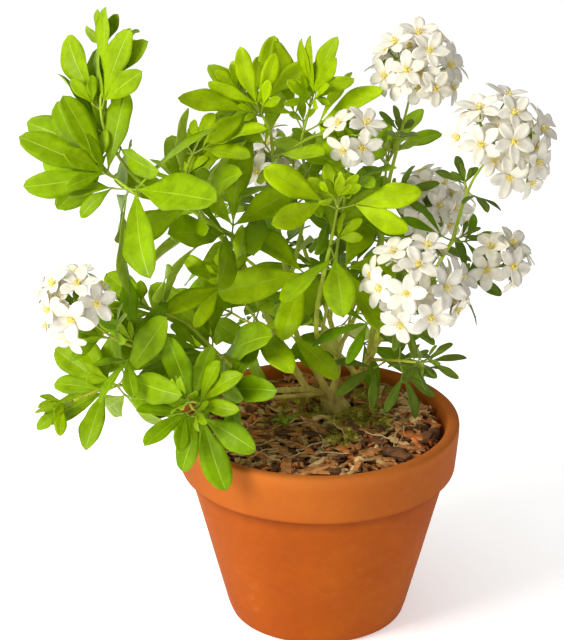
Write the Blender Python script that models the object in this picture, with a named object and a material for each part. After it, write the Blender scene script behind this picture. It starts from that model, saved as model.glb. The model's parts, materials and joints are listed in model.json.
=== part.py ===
"""Potted Mexican orange blossom: a squat terracotta pot, its bark-covered soil, a forked stem, boughs,
masses of palmate leaves and domed heads of five-petalled flowers. Metres, +Z up, origin on the pot's
axis at its underside. Tables are in millimetres."""

import math
import random
from collections import namedtuple

import bmesh
import bpy
from mathutils import Matrix, Vector
from mathutils.bvhtree import BVHTree

MM = 0.001
GAP = 0.3 * MM

# Pot
POT_HEIGHT = 0.141
RIM_RADIUS = 0.095
RIM_LOW_RADIUS = 0.0920
RIM_BAND = 0.034
NECK_RADIUS = 0.0868
FOOT_RADIUS = 0.0590
FOOT_ROUND = 0.004
RIM_WALL = 0.009
BODY_WALL = 0.008
FLOOR_THICKNESS = 0.012
POT_SIDES = 40
DRAIN_HOLES = 3
DRAIN_RADIUS = 0.006
DRAIN_CIRCLE = 0.026

# Soil, a little below the lip
SOIL_DROP = 0.013
SOIL_SURFACE = POT_HEIGHT - SOIL_DROP
SOIL_MOUND = 0.004

# Trunk, a short stub that stands behind the pot's middle
TRUNK_FOOT = Vector((0.0115, 0.0340, SOIL_SURFACE + SOIL_MOUND + GAP))
TRUNK_HEIGHT = 0.010
TRUNK_LEAN = Vector((-0.002, -0.001))
TRUNK_FLARE = 0.0105
TRUNK_NECK = 0.0078

# Where leaves turn their faces: up, and towards the side the light comes from
LIGHT = Vector((-0.08, -0.62, 0.78)).normalized()
OUTWARD_PULL = 0.65

# One leaf is a stalk with leaflets spread from its end like fingers
SHORTEST_STALK = 7.0 * MM
STALK_ROOT = 0.4 * MM
LEAFLET_FAN = (55, 42)
SIDE_LEAFLET = 0.86
TIP_SHRINK = 0.22
LEAF_FOLD = 0.22
LEAF_SAG = 0.10
LEAF_THICK = 1 / 90
WIDEST = 1.55
COARSE_SECTIONS = (0.44, 0.79)
SMALL_LEAFLET = 54 * MM
SMALL_SECTIONS = (0.58,)
LEAFLET_ROOT = 0.35 * MM
TEST_ROOM = 0.45 * MM
TWIG_SIDES = 3
STEM_STEP = 0.015
LIMB_SIDES = 5

# One flower is a five-pointed star of blunt petals
PETALS = 5
FLOWER_RADIUS = 14.5 * MM
PETAL_CUP = 0.20
PETAL_OUTLINE = ((-math.pi / PETALS, 0.36), (0.0, 1.0))
FLOWER_HEART = 0.92
NECK = 2.6 * MM
GOLDEN_ANGLE = math.pi * (3 - math.sqrt(5))
HEAD_BRANCHES = 6

Limb = namedtuple("Limb", "parent at points foot_radius tip_radius")
Mass = namedtuple("Mass", "limb at points nodes leaf slim roll spread stalk flowers dome seed")

# A limb leaves its parent at a share of the parent's length. From the trunk, `at` is its place on top.
LIMBS = {
    "bough_left": Limb(
        "trunk", (-4.6, -0.6), [(-8, 26, 151), (-28, 12, 196), (-42, 4, 229), (-56, -5, 271)],
        2.4, 1.6,
    ),
    "bough_top_middle": Limb(
        "trunk", (-0.4, -4.8), [(-4, 24, 168), (-17, 20, 200), (-22, 14, 242), (-29, 12, 284)],
        2.2, 1.5,
    ),
    "bough_right": Limb(
        "trunk", (4.6, -0.4), [(26, 34, 156), (34, 30, 174), (40, 28, 229), (42, 30, 267)],
        2.4, 1.5,
    ),
    "bough_back": Limb("trunk", (0.2, 4.6), [(13, 46, 154), (10, 66, 174), (2, 84, 194)], 2.2, 1.6),
    "bough_top_left": Limb(
        "bough_left", 0.80, [(-66, -12, 278), (-84, -23, 299), (-114, -30, 315)],
        1.5, 1.2,
    ),
    "bough_left_low": Limb(
        "bough_left", 0.10, [(-34, 4, 159), (-61, -20, 178), (-84, -36, 194)],
        1.8, 1.3,
    ),
    "bough_low_front": Limb(
        "bough_left", 0.03, [(-30, 3, 154), (-46, -22, 168), (-60, -42, 182)],
        1.5, 1.1,
    ),
    "bough_top_right": Limb("bough_top_middle", 0.62, [(-12, 18, 266), (-6, 20, 300)], 1.4, 1.1),
    "bough_centre": Limb(
        "bough_right", 0.14, [(14, 14, 180), (0, 4, 196), (-1, -8, 222), (3, -20, 252)],
        2.0, 1.3,
    ),
    "bough_front_right": Limb(
        "bough_right", 0.20, [(37, 10, 184), (38, -10, 204), (42, -26, 222)],
        1.7, 1.3,
    ),
    "bough_high_right": Limb(
        "bough_right", 0.30, [(57, 12, 214), (74, 2, 244), (86, -3, 268)],
        1.7, 1.2,
    ),
    "bough_back_left": Limb(
        "bough_back", 0.55, [(-14, 86, 190), (-38, 98, 204), (-60, 104, 222)],
        1.5, 1.1,
    ),
    "bough_back_right": Limb(
        "bough_back", 0.40, [(24, 78, 178), (34, 94, 200), (41, 104, 224)],
        1.6, 1.2,
    ),
}

# A mass's stem goes on from its limb's end, or leaves the limb's side where `at` is under 1. `nodes` are
# the places of its pairs of leaves as shares of the stem, `leaf` a leaflet's length, `slim` its width to
# its length, `spread` the leaves' angle to the stem at the foot and at the tip.
MASSES = {
    "flowers_top": Mass(
        "bough_right", 1.0, [(46, 30, 299), (52, 30, 327), (60, 29, 364)],
        (0.30, 0.66), 27, 0.26, 0, (62, 50), 0.35, 14, 24, 11,
    ),
    "flowers_upper_right": Mass(
        "bough_high_right", 1.0, [(92, -5, 292), (98, -8, 312), (107, -11, 328)],
        (0.15, 0.66), 32, 0.26, 20, (80, 70), 0.3, 16, 30, 12,
    ),
    "flowers_front_right": Mass(
        "bough_front_right", 1.0, [(48, -36, 231), (57, -48, 248)],
        (0.25, 0.75), 38, 0.26, 20, (95, 85), 0.3, 14, 28, 13,
    ),
    "flowers_right": Mass(
        "bough_high_right", 0.45, [(98, -6, 246), (112, -10, 255)],
        (0.55,), 36, 0.26, 50, (70, 50), 0.3, 7, 14, 14,
    ),
    "flowers_inner_right": Mass(
        "bough_right", 0.66, [(49, 42, 254), (62, 45, 268)],
        (0.5,), 38, 0.26, 0, (70, 50), 0.3, 7, 15, 15,
    ),
    "flowers_middle": Mass(
        "bough_centre", 0.45, [(12, 4, 262), (17, -4, 306), (21, -14, 340)],
        (0.55, 0.8), 42, 0.34, 30, (60, 50), 0.3, 4, 12, 16,
    ),
    "flowers_left": Mass(
        "bough_left_low", 0.72, [(-104, -48, 207), (-130, -66, 226), (-148, -76, 247)],
        (0.35, 0.62), 34, 0.34, 70, (60, 50), 0.3, 11, 20, 17,
    ),
    "flowers_back": Mass(
        "bough_back_left", 0.35, [(-30, 112, 232), (-36, 122, 262)],
        (0.35, 0.75), 42, 0.28, 45, (70, 60), 0.3, 10, 24, 18,
    ),
    "flowers_back_right": Mass(
        "bough_back_right", 0.55, [(60, 106, 216), (74, 110, 238)],
        (0.3, 0.7), 42, 0.28, 45, (70, 60), 0.3, 9, 22, 19,
    ),
    "leaves_far_left": Mass(
        "bough_top_left", 1.0, [(-114, -47, 316), (-134, -41, 330)],
        (0.68, 0.89), 79, 0.34, 138, (104, -14), 0.1, 0, 0, 445,
    ),
    "leaves_top_left": Mass(
        "bough_top_left", 0.93, [(-119, -23, 320), (-138, -24, 358), (-135, -1, 393)],
        (0.30, 0.47, 0.63, 0.80), 55, 0.37, 151, (48, 22), 0.06, 0, 0, 185,
    ),
    "leaves_upper_left": Mass(
        "bough_left", 1.0, [(-74, -7, 286), (-86, -23, 314), (-81, -5, 330)],
        (0.16, 0.48, 0.77, 0.99), 61, 0.38, 59, (40, 62), 0.05, 0, 0, 673,
    ),
    "leaves_top_middle": Mass(
        "bough_top_middle", 1.0, [(-32, 8, 340), (-48, 13, 363)],
        (0.15, 0.53, 0.82, 0.83), 49, 0.33, -150, (87, 18), 0.23, 0, 0, 408,
    ),
    "leaves_top_right": Mass(
        "bough_top_right", 1.0, [(-12, 18, 325), (-6, 13, 357)],
        (0.28, 0.71, 0.98), 50, 0.33, 72, (81, 0), 0.29, 0, 0, 864,
    ),
    "leaves_centre": Mass(
        "bough_centre", 1.0, [(8, -32, 282), (12, -38, 308)],
        (0.25, 0.55, 0.95), 58, 0.40, 10, (95, 60), 0.25, 0, 0, 25,
    ),
    "leaves_left": Mass(
        "bough_left_low", 0.45, [(-79, -27, 213), (-89, -26, 222), (-110, -36, 235)],
        (0.30, 0.40, 0.87), 69, 0.41, 158, (59, 48), 0.11, 0, 0, 328,
    ),
    "leaves_lower_left": Mass(
        "bough_left_low", 1.0, [(-108, -59, 189), (-129, -57, 190), (-157, -74, 186)],
        (0.68, 0.69), 57, 0.41, 38, (118, -27), 0.17, 0, 0, 391,
    ),
    "leaves_front_low": Mass(
        "bough_low_front", 1.0, [(-75, -68, 179), (-80, -74, 181), (-82, -85, 190)],
        (0.34, 0.69, 0.81), 48, 0.41, -140, (84, 54), 0.15, 0, 0, 354,
    ),
    "leaves_middle_low": Mass(
        "bough_left", 0.22, [(-36, -8, 208), (-48, -22, 232), (-56, -30, 250)],
        (0.3, 0.6, 0.96), 50, 0.38, 20, (90, 55), 0.25, 0, 0, 29,
    ),
    "leaves_right_low": Mass(
        "bough_front_right", 0.15, [(54, -8, 186), (66, -20, 190)],
        (0.3, 0.6, 0.96), 34, 0.25, 15, (95, 60), 0.3, 0, 0, 30,
    ),
    "leaves_back_middle": Mass(
        "bough_back", 1.0, [(-10, 98, 222), (-17, 106, 256), (-18, 108, 286)],
        (0.2, 0.45, 0.7, 0.96), 54, 0.36, 30, (90, 45), 0.3, 0, 0, 31,
    ),
    "leaves_back_high": Mass(
        "bough_back", 0.72, [(12, 68, 232), (14, 60, 270), (12, 56, 298)],
        (0.35, 0.66, 0.97), 52, 0.36, 10, (88, 45), 0.3, 0, 0, 36,
    ),
    "leaves_back_left": Mass(
        "bough_back_left", 1.0, [(-74, 108, 240), (-84, 108, 266)],
        (0.2, 0.55, 0.96), 56, 0.36, 0, (90, 50), 0.3, 0, 0, 32,
    ),
    "leaves_back_right": Mass(
        "bough_back_right", 1.0, [(44, 112, 250), (46, 114, 282)],
        (0.2, 0.55, 0.96), 52, 0.32, 60, (90, 50), 0.3, 0, 0, 33,
    ),
    "leaves_back_low": Mass(
        "bough_back", 0.30, [(22, 96, 172), (26, 116, 184)],
        (0.4, 0.7, 0.97), 46, 0.36, 20, (95, 70), 0.3, 0, 0, 34,
    ),
    "leaves_back_side": Mass(
        "bough_back_left", 0.12, [(-36, 82, 170), (-62, 88, 180)],
        (0.4, 0.7, 0.97), 46, 0.36, 50, (95, 70), 0.3, 0, 0, 35,
    ),
}

COLOURS = {
    "terracotta": ((0.62, 0.25, 0.10), 0.85),
    "bark_mulch": ((0.16, 0.09, 0.05), 0.95),
    "stem": ((0.36, 0.38, 0.14), 0.7),
    "foliage": ((0.22, 0.42, 0.03), 0.5),
    "blossom": ((0.86, 0.85, 0.78), 0.5),
}


def smooth(points, before=None, step=STEM_STEP):
    """A smooth curve through the points, as evenly spaced points."""
    first = before if before is not None else 2 * points[0] - points[1]
    ends = [first, *points, 2 * points[-1] - points[-2]]
    dense = []
    for a, b, c, d in zip(ends, ends[1:], ends[2:], ends[3:]):
        for k in range(16):
            t = k / 16
            square, cube = 2 * a - 5 * b + 4 * c - d, 3 * b - a - 3 * c + d
            dense.append(0.5 * (2 * b + (c - a) * t + square * t * t + cube * t ** 3))
    dense.append(points[-1].copy())
    length = sum((q - p).length for p, q in zip(dense, dense[1:]))
    count = max(2, round(length / step))
    path, want, done = [dense[0]], length / count, 0.0
    for p, q in zip(dense, dense[1:]):
        gone = (q - p).length
        while gone and done + gone >= want * len(path) - 1e-9 and len(path) < count:
            path.append(p.lerp(q, (want * len(path) - done) / gone))
        done += gone
    path.append(dense[-1])
    return path


def along(path, share):
    """The point and the direction at a share of an evenly spaced path."""
    place = min(max(share, 0.0), 1.0) * (len(path) - 1)
    k = min(int(place), len(path) - 2)
    return path[k].lerp(path[k + 1], place - k), (path[k + 1] - path[k]).normalized()


def across(direction, near=Vector((0, 0, 1))):
    """A unit vector square to direction, as close to `near` as it can be."""
    side = near - direction * near.dot(direction)
    if side.length < 1e-3:
        side = Vector((1, 0, 0)) - direction * direction.x
    return side.normalized()


def turned(vector, axis, degrees):
    return Matrix.Rotation(math.radians(degrees), 3, axis) @ vector


def tube(path, radii, sides, flat_foot=None, top=None):
    """A closed tapering tube along a path, as (points, faces). flat_foot cuts its foot level at that
    height, and top is the way that its first corner looks."""
    points, faces = [], []
    directions = [
        (path[min(k + 1, len(path) - 1)] - path[max(k - 1, 0)]).normalized() for k in range(len(path))
    ]
    up = across(directions[0], top or Vector((0.2, -1, 0.1)))
    for k, centre in enumerate(path):
        up = across(directions[k], up)
        side = directions[k].cross(up)
        for n in range(sides):
            angle = 2 * math.pi * n / sides
            p = centre + radii[k] * (up * math.cos(angle) + side * math.sin(angle))
            if k == 0 and flat_foot is not None:
                p += directions[0] * ((flat_foot - p.z) / directions[0].z)
            points.append(p)
    for k in range(len(path) - 1):
        for n in range(sides):
            a, b = k * sides + n, k * sides + (n + 1) % sides
            faces.append((a, b, b + sides, a + sides))
    faces.append(tuple(reversed(range(sides))))
    faces.append(tuple(range(len(points) - sides, len(points))))
    return points, faces


def taper(count, start, end):
    return [start + (end - start) * k / (count - 1) for k in range(count)]


def half_width(share):
    """A leaflet's half width at a share of its length, where 1 is the widest."""
    return math.sin(math.pi * share ** WIDEST)


Leaflet = namedtuple("Leaflet", "root direction normal length width sag")
Stalk = namedtuple("Stalk", "path radius top")
Flower = namedtuple("Flower", "centre axis radius spin root")


def leaflet_point(leaf, share, sideways=0.0, lift=0.0):
    """A point of a leaflet: along its midrib, sideways in half widths, lifted off its face in metres."""
    side = leaf.direction.cross(leaf.normal)
    arch = leaf.sag * leaf.length * share * share
    half = leaf.width / 2 * sideways
    return (
        leaf.root
        + leaf.direction * (leaf.length * share)
        + side * half
        + leaf.normal * (lift - arch + LEAF_FOLD * abs(half))
    )


def coarse_leaflet(leaf, start=0.0, room=0.0):
    """A closed leaflet of few faces. With room, it is that much fuller all round, to test a place."""
    thick = leaf.length * LEAF_THICK / 2 + room
    wide = 1 + 2 * room / leaf.width
    points = [leaflet_point(leaf, start)]
    sections = SMALL_SECTIONS if leaf.length < SMALL_LEAFLET else COARSE_SECTIONS
    for share in sections:
        half = half_width(share) * wide
        points += [
            leaflet_point(leaf, share, -half),
            leaflet_point(leaf, share, 0, thick),
            leaflet_point(leaf, share, half),
            leaflet_point(leaf, share, 0, -thick),
        ]
    points.append(leaflet_point(leaf, 1 + room / leaf.length))
    faces = []
    last = len(points) - 1
    for n in range(4):
        m = (n + 1) % 4
        faces.append((0, 1 + m, 1 + n))
        for k in range(1, last - 4, 4):
            faces.append((k + n, k + m, k + 4 + m))
            faces.append((k + n, k + 4 + m, k + 4 + n))
        faces.append((last - 4 + n, last - 4 + m, last))
    return points, faces


def ring(centre, direction, radius, near):
    """Three points round a centre, square to a direction."""
    up = across(direction, near)
    side = direction.cross(up)
    return [
        centre + radius * (up * math.cos(2 * math.pi * n / 3) + side * math.sin(2 * math.pi * n / 3))
        for n in range(3)
    ]


def coarse_flower(flower):
    """A closed five-pointed star, raised into a shallow cup, on its stalk."""
    up = across(flower.axis, Vector((0, 0, 1)))
    side = flower.axis.cross(up)
    points = []
    for petal in range(PETALS):
        middle = flower.spin + 2 * math.pi * petal / PETALS
        for offset, share in PETAL_OUTLINE:
            angle, reach = middle + offset, share * flower.radius
            points.append(
                flower.centre
                + reach * (up * math.cos(angle) + side * math.sin(angle))
                + flower.axis * (PETAL_CUP * reach)
            )
    rim, first = len(points), points[0] - flower.centre
    points.append(flower.centre + flower.axis * 0.8 * MM)
    neck = flower.centre - flower.axis * NECK
    away = (neck - flower.root).normalized()
    points += ring(neck, (away + flower.axis).normalized(), 0.6 * MM, first)
    points += ring(flower.root, away, STALK_ROOT, first)
    faces = [(n, (n + 1) % rim, rim) for n in range(rim)]
    low = rim + 1
    corner = [round(3 * n / rim) % 3 for n in range(rim)]
    for n in range(rim):
        m = (n + 1) % rim
        faces.append((m, n, low + corner[n]))
        if corner[m] != corner[n]:
            faces.append((m, low + corner[n], low + corner[m]))
    for n in range(3):
        m = (n + 1) % 3
        faces.append((low + m, low + n, low + 3 + m))
        faces.append((low + n, low + 3 + n, low + 3 + m))
    faces.append((low + 3, low + 5, low + 4))
    return points, faces


def star_only(flower):
    """The star of a coarse flower, closed below, to test a place for it."""
    points, faces = coarse_flower(flower)
    rim = 2 * PETALS
    keep = [face for face in faces if max(face) < rim + 4]
    return points[: rim + 4], [*keep, (rim + 1, rim + 3, rim + 2)]


def facing(point):
    """The way a leaf at this point turns its face."""
    outward = Vector((point.x, point.y, 0))
    reach = outward.length
    outward = outward.normalized() if reach > 0.01 else Vector((0, 0, 0))
    return (LIGHT + OUTWARD_PULL * outward * min(1.0, reach / 0.12)).normalized()


OWN = ("stem", "stalk", "leaflet", "flower")


class Space:
    """What already stands somewhere, and whether a new piece would touch it."""

    def __init__(self):
        self.taken = []

    def add(self, shell, owner, kind):
        points, faces = shell
        tree = BVHTree.FromPolygons(points, faces)
        low = Vector(min(p[k] for p in points) for k in range(3))
        high = Vector(max(p[k] for p in points) for k in range(3))
        self.taken.append((tree, low, high, owner, kind))

    def free(self, shell, owner, ignore=()):
        """True if the shell touches nothing, leaving out the owner's own pieces of the kinds to ignore."""
        points, faces = shell
        low = Vector(min(p[k] for p in points) for k in range(3))
        high = Vector(max(p[k] for p in points) for k in range(3))
        for p in points:
            radius = math.hypot(p.x, p.y)
            if p.z < SOIL_SURFACE + SOIL_MOUND + 1.5 * MM and radius < RIM_RADIUS:
                return False
            if p.z < POT_HEIGHT + 1.5 * MM and radius < RIM_RADIUS + 2.5 * MM:
                if radius > RIM_RADIUS - RIM_WALL - 2.5 * MM:
                    return False
        tree = BVHTree.FromPolygons(points, faces)
        for other, other_low, other_high, other_owner, kind in self.taken:
            if other_owner == owner and kind in ignore:
                continue
            if any(low[k] > other_high[k] or high[k] < other_low[k] for k in range(3)):
                continue
            if tree.overlap(other):
                return False
        return True


def from_table(points):
    return [Vector(p) * MM for p in points]


def trunk_top():
    return TRUNK_FOOT + Vector((TRUNK_LEAN.x, TRUNK_LEAN.y, TRUNK_HEIGHT))


def side_start(parent_path, parent_radius, at, towards, radius):
    """Where a limb that leaves a parent's side begins, just clear of it, and the parent's point there."""
    point, tangent = along(parent_path, at)
    direction = (towards - point).normalized()
    lean = direction.dot(tangent)
    if abs(lean) > 0.80:
        direction = (direction - tangent * (lean - math.copysign(0.80, lean))).normalized()
        lean = direction.dot(tangent)
    off = (parent_radius + 1.2 * GAP + radius * abs(lean)) / math.sqrt(1 - lean * lean)
    return point + direction * off, point


def foot_points(corners):
    """Points spread over a tube's foot, from its corners."""
    centre = sum(corners, Vector()) / len(corners)
    edges = list(zip(corners, corners[1:] + corners[:1]))
    return [centre.lerp(a.lerp(b, k / 4), share) for a, b in edges for k in range(4) for share in (0.5, 1)]


def seated(start, before, points, foot, tip, parent_tree):
    """The path of a side limb whose foot is moved until it is 0.3 mm clear of its parent."""
    for _ in range(10):
        path = smooth([start, *points], before)
        corners = tube(path, taper(len(path), foot, tip), LIMB_SIDES)[0][:LIMB_SIDES]
        clear = min(parent_tree.find_nearest(p)[3] for p in foot_points(corners))
        start = start + (before - start).normalized() * (clear - GAP)
    return smooth([start, *points], before)


def grow_limbs():
    """Every limb's path and radii, by name."""
    grown = {}
    for name, limb in LIMBS.items():
        points = from_table(limb.points)
        foot, tip = limb.foot_radius * MM, limb.tip_radius * MM
        if limb.parent == "trunk":
            start = trunk_top() + Vector((limb.at[0] * MM, limb.at[1] * MM, GAP))
            path = smooth([start, *points])
        else:
            parent, radii = grown[limb.parent]
            radius = radii[0] + (radii[-1] - radii[0]) * limb.at
            start, before = side_start(parent, radius, limb.at, points[0], foot)
            parent_tree = BVHTree.FromPolygons(*tube(parent, radii, LIMB_SIDES))
            path = seated(start, before, points, foot, tip, parent_tree)
        grown[name] = (path, taper(len(path), foot, tip))
    return grown


def grow_stem(mass, limbs):
    """The stem of a mass, going on from its limb 0.3 mm clear."""
    path, radii = limbs[mass.limb]
    points = from_table(mass.points)
    if mass.at >= 1:
        tip, direction = along(path, 1.0)
        start, radius = tip + direction * GAP, radii[-1]
        stem = [start, *smooth([start + direction * 2 * MM, *points], start)]
    else:
        radius = 1.1 * MM
        parent_radius = radii[0] + (radii[-1] - radii[0]) * mass.at
        start, before = side_start(path, parent_radius, mass.at, points[0], radius)
        stem = smooth([start, *points], before)
    return Stalk(stem, taper(len(stem), radius, 0.75 * MM), None)


def stalk_shell(stalk):
    return tube(stalk.path, stalk.radius, TWIG_SIDES, None, stalk.top)


def palm(root, direction, normal, length, slim, spread, dice):
    """The three leaflets that spread from a stalk's end."""
    leaflets = []
    for order in (0, -1, 1):
        way = turned(direction, normal, order * spread + dice.uniform(-6, 6))
        reach = length * (SIDE_LEAFLET if order else 1) * dice.uniform(0.93, 1.05)
        face = turned(normal, way, dice.uniform(-12, 12) - 9 * order)
        leaflets.append(
            Leaflet(root + way * LEAFLET_ROOT, way, across(way, face), reach,
                    reach * slim * dice.uniform(0.92, 1.08), LEAF_SAG * dice.uniform(0.4, 1.7))
        )
    return leaflets


def place_leaf(node, direction, length, fan, mass, name, space, dice):
    """A stalk and its leaflets at a node, or nothing where there is no room. It tries a few turns."""
    for turn in (0, 14, -14, 28, -28, 42, -42):
        way = turned(direction, across(direction, facing(node)), turn)
        reach = max(length * mass.stalk, SHORTEST_STALK)
        end = node + way * reach - Vector((0, 0, 0.06 * reach))
        whole = Stalk([node, end], [0.8 * MM + TEST_ROOM, 1.1 * MM + TEST_ROOM], None)
        outer = Stalk([node.lerp(end, 0.35), end], whole.radius, None)
        if not space.free(stalk_shell(whole), name, OWN):
            continue
        if not space.free(stalk_shell(outer), name, ("stem", "stalk")):
            continue
        forward = (end - node).normalized()
        normal = across(forward, turned(facing(end), forward, dice.uniform(-14, 14)))
        stalk = Stalk([node, end + forward * MM], [STALK_ROOT, 1.1 * MM], normal)
        kept = []
        for leaf in palm(end, forward, normal, length, mass.slim, fan, dice):
            for swing in (0, 10, -10, 20, -20):
                tried = leaf._replace(direction=turned(leaf.direction, leaf.normal, swing))
                outer = coarse_leaflet(tried, 0.10, TEST_ROOM)
                if space.free(outer, name, ("stalk",)) and space.free(coarse_leaflet(tried), name, OWN):
                    kept.append(tried)
                    space.add(coarse_leaflet(tried), name, "leaflet")
                    break
        if kept:
            space.add(stalk_shell(stalk), name, "stalk")
            return [stalk], kept
    return [], []


def grow_leaves(mass, stem, name, space):
    """Pairs of leaves up the stem, each pair square to the last, closer to the stem at the tip."""
    dice = random.Random(mass.seed)
    stalks, leaflets = [], []
    low, high = mass.spread
    for k, share in enumerate(mass.nodes):
        node, tangent = along(stem.path, share)
        rise = k / max(1, len(mass.nodes) - 1)
        angle = low + (high - low) * rise
        size = mass.leaf * MM * (1 - TIP_SHRINK * rise * rise) * dice.uniform(0.94, 1.06)
        fan = LEAFLET_FAN[0] + (LEAFLET_FAN[1] - LEAFLET_FAN[0]) * rise
        for half in range(2):
            around = mass.roll + 90 * k + 180 * half + dice.uniform(-12, 12)
            outward = turned(across(tangent, Vector((1, 0, 0))), tangent, around)
            way = turned(tangent, tangent.cross(outward).normalized(), angle)
            made = place_leaf(node, way.normalized(), size, fan, mass, name, space, dice)
            stalks += made[0]
            leaflets += made[1]
    return stalks, leaflets


def grow_flowers(mass, stem, name, space):
    """A domed head: stalks from the stem's tip, each ending in a flower that looks outwards."""
    if not mass.flowers:
        return [], []
    dice = random.Random(1000 + mass.seed)
    tip, axis = along(stem.path, 1.0)
    axis = (axis + 0.6 * facing(tip)).normalized()
    dome = mass.dome * MM
    centre = tip + axis * (0.55 * dome)
    up = across(axis)
    side = axis.cross(up)
    branches = [tip + axis * (0.75 * dome)]
    for n in range(HEAD_BRANCHES):
        angle = 2 * math.pi * n / HEAD_BRANCHES + mass.roll
        way = (axis * 0.8 + up * math.cos(angle) + side * math.sin(angle)).normalized()
        end = tip + way * (0.6 * dome)
        if space.free(stalk_shell(Stalk([tip, end], [0.8 * MM + TEST_ROOM] * 2, None)), name, OWN):
            branches.append(end)
    stalks = [
        Stalk([tip - axis * 0.6 * MM, end], [STALK_ROOT, 0.8 * MM], None) for end in branches
    ]
    roots = [tip.lerp(end, share) for end in branches for share in (0.55, 0.75, 0.95)]
    flowers = []
    for n in range(mass.flowers):
        height = 1 - (n + 0.5) / mass.flowers * 1.35
        ring = math.sqrt(max(0.0, 1 - height * height))
        angle = n * GOLDEN_ANGLE + mass.roll
        way = (axis * height + ring * (up * math.cos(angle) + side * math.sin(angle))).normalized()
        look = (way + 0.5 * facing(tip) + Vector([dice.uniform(-0.2, 0.2) for _ in range(3)])).normalized()
        radius = FLOWER_RADIUS * dice.uniform(0.88, 1.06)
        spin = dice.uniform(0, 2 * math.pi)
        for push in (1.0, 1.1, 0.9, 1.2, 0.8, 1.3, 0.7):
            place = centre + way * dome * push
            root = min(roots, key=lambda p: (p - place).length)
            flower = Flower(place, look, radius, spin, root)
            heart = flower._replace(radius=FLOWER_HEART * radius)
            full = flower._replace(radius=radius + TEST_ROOM)
            if space.free(coarse_flower(full), name, OWN) and space.free(
                star_only(heart), name, ("stem", "stalk")
            ):
                break
        else:
            continue
        flowers.append(flower)
        roots.remove(flower.root)
        space.add(coarse_flower(flower), name, "flower")
    for stalk in stalks:
        space.add(stalk_shell(stalk), name, "stalk")
    return stalks, flowers


def grow():
    """The whole plant: limbs, and for each mass its stem, stalks, leaflets and flowers."""
    limbs = grow_limbs()
    space = Space()
    for name, (path, radii) in limbs.items():
        space.add(tube(path, radii, LIMB_SIDES), name, "limb")
    stems = {name: grow_stem(mass, limbs) for name, mass in MASSES.items()}
    for name, stem in stems.items():
        space.add(stalk_shell(stem), name, "stem")
    heads = {name: grow_flowers(mass, stems[name], name, space) for name, mass in MASSES.items()}
    plant = {}
    for name, mass in MASSES.items():
        stalks, leaflets = grow_leaves(mass, stems[name], name, space)
        plant[name] = (stems[name], heads[name][0] + stalks, leaflets, heads[name][1])
    return limbs, plant


def material(name):
    made = bpy.data.materials.get(name)
    if made is None:
        colour, roughness = COLOURS[name]
        made = bpy.data.materials.new(name)
        made.use_nodes = True
        shader = made.node_tree.nodes["Principled BSDF"]
        shader.inputs["Base Color"].default_value = (*colour, 1)
        shader.inputs["Roughness"].default_value = roughness
    return made


def add_object(name, shell, finish, collection=None, smooth_shading=False):
    mesh = bpy.data.meshes.new(name)
    mesh.from_pydata(shell[0], [], shell[1])
    if smooth_shading:
        mesh.polygons.foreach_set("use_smooth", [True] * len(mesh.polygons))
    mesh.materials.append(material(finish))
    obj = bpy.data.objects.new(name, mesh)
    (collection or bpy.context.scene.collection).objects.link(obj)
    return obj


def evaluated_copy(obj):
    bpy.context.view_layer.update()
    graph = bpy.context.evaluated_depsgraph_get()
    return bpy.data.meshes.new_from_object(obj.evaluated_get(graph))


def keep_largest(mesh):
    """Drops loose scraps and sealed hollows, which a union can leave."""
    shape = bmesh.new()
    shape.from_mesh(mesh)
    left, islands = set(shape.faces), []
    while left:
        island, edge = set(), [left.pop()]
        while edge:
            face = edge.pop()
            island.add(face)
            for near in (f for e in face.edges for f in e.link_faces if f in left):
                left.discard(near)
                edge.append(near)
        islands.append(island)

    def volume(island):
        total = 0.0
        for face in island:
            corners = [v.co for v in face.verts]
            for b, c in zip(corners[1:], corners[2:]):
                total += corners[0].dot(b.cross(c)) / 6
        return total

    largest = max(islands, key=volume)
    loose = [f for island in islands if island is not largest for f in island]
    bmesh.ops.delete(shape, geom=loose, context="FACES")
    shape.to_mesh(mesh)
    shape.free()


def fuse(name, shells, finish):
    """One solid from many closed shells that reach into each other."""
    group = bpy.data.collections.new(name + "_pieces")
    bpy.context.scene.collection.children.link(group)
    for n, shell in enumerate(shells[1:]):
        add_object(f"{name}_piece_{n}", shell, finish, group)
    obj = add_object(name, shells[0], finish)
    union = obj.modifiers.new("Join", "BOOLEAN")
    union.operation = "UNION"
    union.operand_type = "COLLECTION"
    union.collection = group
    union.solver = "MANIFOLD"
    joined = evaluated_copy(obj)
    obj.modifiers.clear()
    obj.data = joined
    keep_largest(joined)
    for piece in list(group.objects):
        bpy.data.objects.remove(piece)
    bpy.data.collections.remove(group)
    return obj


def revolve(name, profile, finish):
    """A closed solid from a profile of (radius, height) pairs that starts and ends on the axis."""
    points = [Vector((0, 0, profile[0][1]))]
    for radius, height in profile[1:-1]:
        for n in range(POT_SIDES):
            angle = 2 * math.pi * n / POT_SIDES
            points.append(Vector((radius * math.cos(angle), radius * math.sin(angle), height)))
    points.append(Vector((0, 0, profile[-1][1])))
    rings, faces = len(profile) - 2, []
    for n in range(POT_SIDES):
        m = (n + 1) % POT_SIDES
        faces.append((0, 1 + m, 1 + n))
        for k in range(rings - 1):
            a, b = 1 + k * POT_SIDES, 1 + (k + 1) * POT_SIDES
            faces.append((a + n, a + m, b + m, b + n))
        top = 1 + (rings - 1) * POT_SIDES
        faces.append((top + n, top + m, len(points) - 1))
    obj = add_object(name, (points, faces), finish, smooth_shading=True)
    obj.data.set_sharp_from_angle(angle=math.radians(40))
    return obj


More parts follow.
